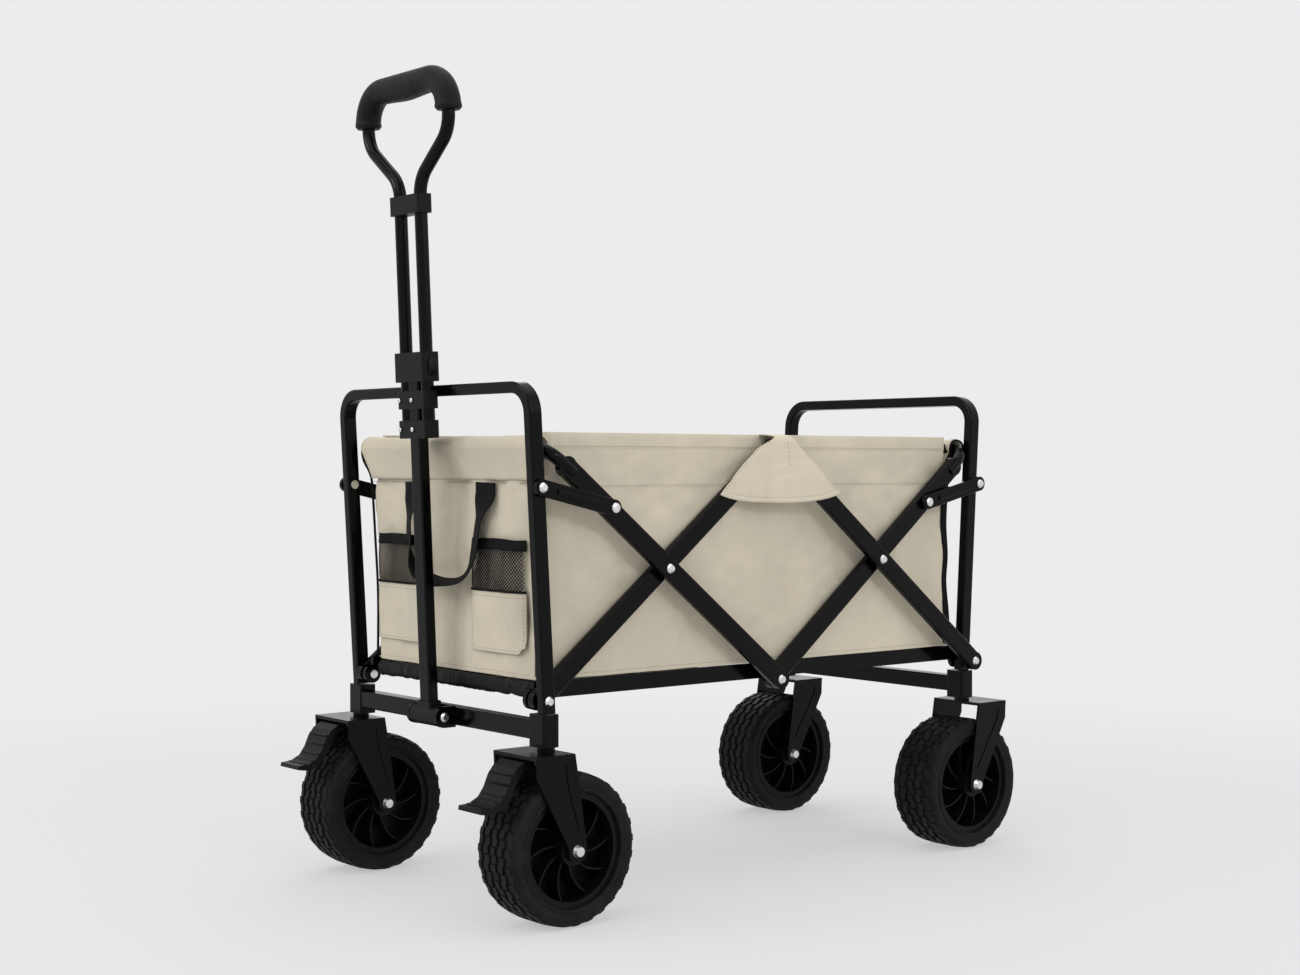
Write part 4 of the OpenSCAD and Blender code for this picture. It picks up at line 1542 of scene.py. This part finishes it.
class OBJECT_OT_cart_stage(bpy.types.Operator):
    """Adds the floor, the soft lights and the camera"""

    bl_idname = "object.cart_stage"
    bl_label = "Studio and Camera"

    def execute(self, context):
        stage = settings().stage
        colour = tuple(stage.floor)
        world = bpy.data.worlds.new("studio")
        world.use_nodes = True
        back = world.node_tree.nodes["Background"]
        back.inputs["Color"].default_value = (*colour, 1.0)
        back.inputs["Strength"].default_value = 1.0
        context.scene.world = world
        context.scene.view_settings.view_transform = "Standard"
        self.make_floor(context, colour)
        self.make_lights(context)
        self.make_camera(context, stage.lens)
        return {"FINISHED"}

    def make_floor(self, context, colour):
        size = 40.0
        floor = make_piece(
            "studio_floor",
            [(-size, -size, 0), (size, -size, 0), (size, size, 0), (-size, size, 0)],
            [(0, 1, 2, 3)],
            self.floor_finish(colour),
            smooth=False,
        )

    def floor_finish(self, colour):
        """Matt floor near the cart that turns into the surround further out."""
        floor = Finish("studio_floor", {"Roughness": 0.9, "Specular IOR Level": 0.1})
        grain = floor.noise(3.0, 2.0)
        tone = floor.blend(grain, shade(colour, FLOOR_SHARE * 0.99), shade(colour, FLOOR_SHARE))
        floor.feed("Base Color", tone)
        x, y = floor.split(floor.place())[:2]
        distance = (x * x + y * y) ** 0.5
        far = distance.ramp(0.9, 2.2) * (1.0 - FLOOR_GLOW) + FLOOR_GLOW
        surround = floor.node(
            "ShaderNodeEmission", {}, {"Color": (*colour, 1.0), "Strength": 1.0}
        )
        both = floor.node("ShaderNodeMixShader", {}, {0: far, 2: surround})
        floor.tree.links.new(floor.shader.outputs[0], both.socket.node.inputs[1])
        floor.tree.links.new(both.socket, floor.output.inputs["Surface"])
        return floor.material

    def make_lights(self, context):
        lights = [
            ("soft_key", (0.4, -2.6, 2.6), 2.4, 26.0),
            ("strip_left", (-1.3, -2.7, 1.7), 0.4, 12.0),
            ("strip_right", (3.1, -0.5, 1.7), 0.4, 14.0),
            ("soft_side", (3.0, 0.8, 1.9), 2.0, 12.0),
            ("soft_back", (-2.4, 1.8, 2.2), 1.8, 22.0),
            ("soft_top", (0.0, 0.0, 3.2), 2.6, 26.0),
        ]
        for name, place, size, power in lights:
            lamp = bpy.data.lights.new(name, "AREA")
            lamp.shape = "SQUARE"
            lamp.size = size
            lamp.energy = power
            lamp_object = bpy.data.objects.new(name, lamp)
            context.scene.collection.objects.link(lamp_object)
            lamp_object.location = place
            aim = Vector((0.0, 0.0, 0.4)) - Vector(place)
            lamp_object.rotation_mode = "QUATERNION"
            lamp_object.rotation_quaternion = aim.to_track_quat("-Z", "Y")

    def make_camera(self, context, lens):
        turn, lift, roll = (math.radians(angle) for angle in CAMERA_TURN_LIFT_ROLL)
        back = Vector(
            (
                math.sin(turn) * math.cos(lift),
                -math.cos(turn) * math.cos(lift),
                math.sin(lift),
            )
        )
        right = Vector((math.cos(turn), math.sin(turn), 0.0))
        up = back.cross(right)
        level = right * math.cos(roll) + up * math.sin(roll)
        rise = up * math.cos(roll) - right * math.sin(roll)
        camera = bpy.data.cameras.new("studio_camera")
        camera.lens = lens
        camera.sensor_width = 36.0
        camera_object = bpy.data.objects.new("studio_camera", camera)
        context.scene.collection.objects.link(camera_object)
        pose = Matrix((level, rise, back)).transposed().to_4x4()
        pose.translation = Vector(CAMERA_PLACE)
        camera_object.matrix_world = pose
        context.scene.camera = camera_object


class OBJECT_OT_cart_hard_parts(bpy.types.Operator):
    """Gives the frame, wheels, bolts and moulded parts their finishes"""

    bl_idname = "object.cart_hard_parts"
    bl_label = "Hard Part Finishes"

    def execute(self, context):
        record = frame["record"]
        slots = {part["node"]: part["material_slot"] for part in record["subparts"]}
        finishes = {
            "zinc": "steel",
            "tyre": "rubber",
            "wheel_black": "wheel",
            "plastic_black": "plastic",
            "grip": "foam",
            "webbing": "binding",
            "canvas": "canvas",
            "frame_black": "paint",
        }
        for name, part in NODES.items():
            material = finish(finishes[slots[name]])
            part.data.materials.clear()
            part.data.materials.append(material)
        return {"FINISHED"}


class OBJECT_OT_cart_tub(bpy.types.Operator):
    """Builds the fabric walls with their sleeves, seams and bindings"""

    bl_idname = "object.cart_tub"
    bl_label = "Fabric Tub"

    def execute(self, context):
        make_walls()
        return {"FINISHED"}


class OBJECT_OT_cart_flaps(bpy.types.Operator):
    """Builds the two patches over the upper crossings of the bars"""

    bl_idname = "object.cart_flaps"
    bl_label = "Side Patches"

    def execute(self, context):
        make_flap(-1.0, "left")
        make_flap(1.0, "right")
        return {"FINISHED"}


class OBJECT_OT_cart_pockets(bpy.types.Operator):
    """Builds the two front pockets with their nets"""

    bl_idname = "object.cart_pockets"
    bl_label = "Front Pockets"

    def execute(self, context):
        make_pocket(-0.107, "left")
        make_pocket(0.107, "right")
        return {"FINISHED"}


class OBJECT_OT_cart_carry_loop(bpy.types.Operator):
    """Builds the webbing loop on the front wall"""

    bl_idname = "object.cart_carry_loop"
    bl_label = "Carry Loop"

    def execute(self, context):
        make_carry_loop()
        return {"FINISHED"}


class OBJECT_OT_cart_mats(bpy.types.Operator):
    """Builds the two padded floor boards"""

    bl_idname = "object.cart_mats"
    bl_label = "Floor Pads"

    def execute(self, context):
        make_mat("front_mat", "front_floor")
        make_mat("rear_mat", "rear_floor")
        return {"FINISHED"}


class OBJECT_OT_cart_tyres(bpy.types.Operator):
    """Builds the four tyres with their tread"""

    bl_idname = "object.cart_tyres"
    bl_label = "Tyres"

    def execute(self, context):
        for end in ("front", "rear"):
            for side in ("left", "right"):
                make_tyre(f"{end}_tyre_{side}", f"wheel_{end}_{side}")
        return {"FINISHED"}


class OBJECT_OT_cart_grip(bpy.types.Operator):
    """Builds the foam grip"""

    bl_idname = "object.cart_grip"
    bl_label = "Handle Grip"

    def execute(self, context):
        make_grip()
        return {"FINISHED"}


class OBJECT_OT_cart_heads(bpy.types.Operator):
    """Builds the rivet and screw heads that the looks need"""

    bl_idname = "object.cart_heads"
    bl_label = "Rivets and Screws"

    def execute(self, context):
        make_heads()
        return {"FINISHED"}


class OBJECT_OT_cart_hem(bpy.types.Operator):
    """Builds the rolled hem under the front wall and the sleeve ends"""

    bl_idname = "object.cart_hem"
    bl_label = "Hem and Sleeve Ends"

    def execute(self, context):
        make_front_hem()
        for side, tag in ((-1.0, "left"), (1.0, "right")):
            make_corner_loop(
                f"rear_sleeve_end_{tag}", side * 0.1600, REAR_RIM_Y, side, 1.0
            )
        return {"FINISHED"}


STEPS = (
    OBJECT_OT_cart_stage,
    OBJECT_OT_cart_hard_parts,
    OBJECT_OT_cart_tub,
    OBJECT_OT_cart_flaps,
    OBJECT_OT_cart_pockets,
    OBJECT_OT_cart_carry_loop,
    OBJECT_OT_cart_mats,
    OBJECT_OT_cart_tyres,
    OBJECT_OT_cart_grip,
    OBJECT_OT_cart_heads,
    OBJECT_OT_cart_hem,
)


class VIEW3D_PT_beach_cart(bpy.types.Panel):
    """Sidebar panel of the cart"""

    bl_idname = "VIEW3D_PT_beach_cart"
    bl_label = "Beach Cart"
    bl_space_type = "VIEW_3D"
    bl_region_type = "UI"
    bl_category = "Beach Cart"

    def draw(self, context):
        cart = context.scene.beach_cart
        for group in (cart.cloth, cart.wheels, cart.paint, cart.stage):
            box = self.layout.box()
            for name in group.__annotations__:
                box.prop(group, name)
        for step in STEPS:
            self.layout.operator(step.bl_idname)


CLASSES = (
    ClothSettings,
    WheelSettings,
    PaintSettings,
    StageSettings,
    CartSettings,
    *STEPS,
    VIEW3D_PT_beach_cart,
)


def register():
    for each in CLASSES:
        bpy.utils.register_class(each)
    bpy.types.Scene.beach_cart = PointerProperty(type=CartSettings)


def unregister():
    del bpy.types.Scene.beach_cart
    for each in reversed(CLASSES):
        bpy.utils.unregister_class(each)


def main():
    register()
    bpy.ops.object.cart_stage()
    bpy.ops.object.cart_hard_parts()
    bpy.ops.object.cart_tub()
    bpy.ops.object.cart_flaps()
    bpy.ops.object.cart_pockets()
    bpy.ops.object.cart_carry_loop()
    bpy.ops.object.cart_mats()
    bpy.ops.object.cart_tyres()
    bpy.ops.object.cart_grip()
    bpy.ops.object.cart_heads()
    bpy.ops.object.cart_hem()


if __name__ == "__main__":
    main()
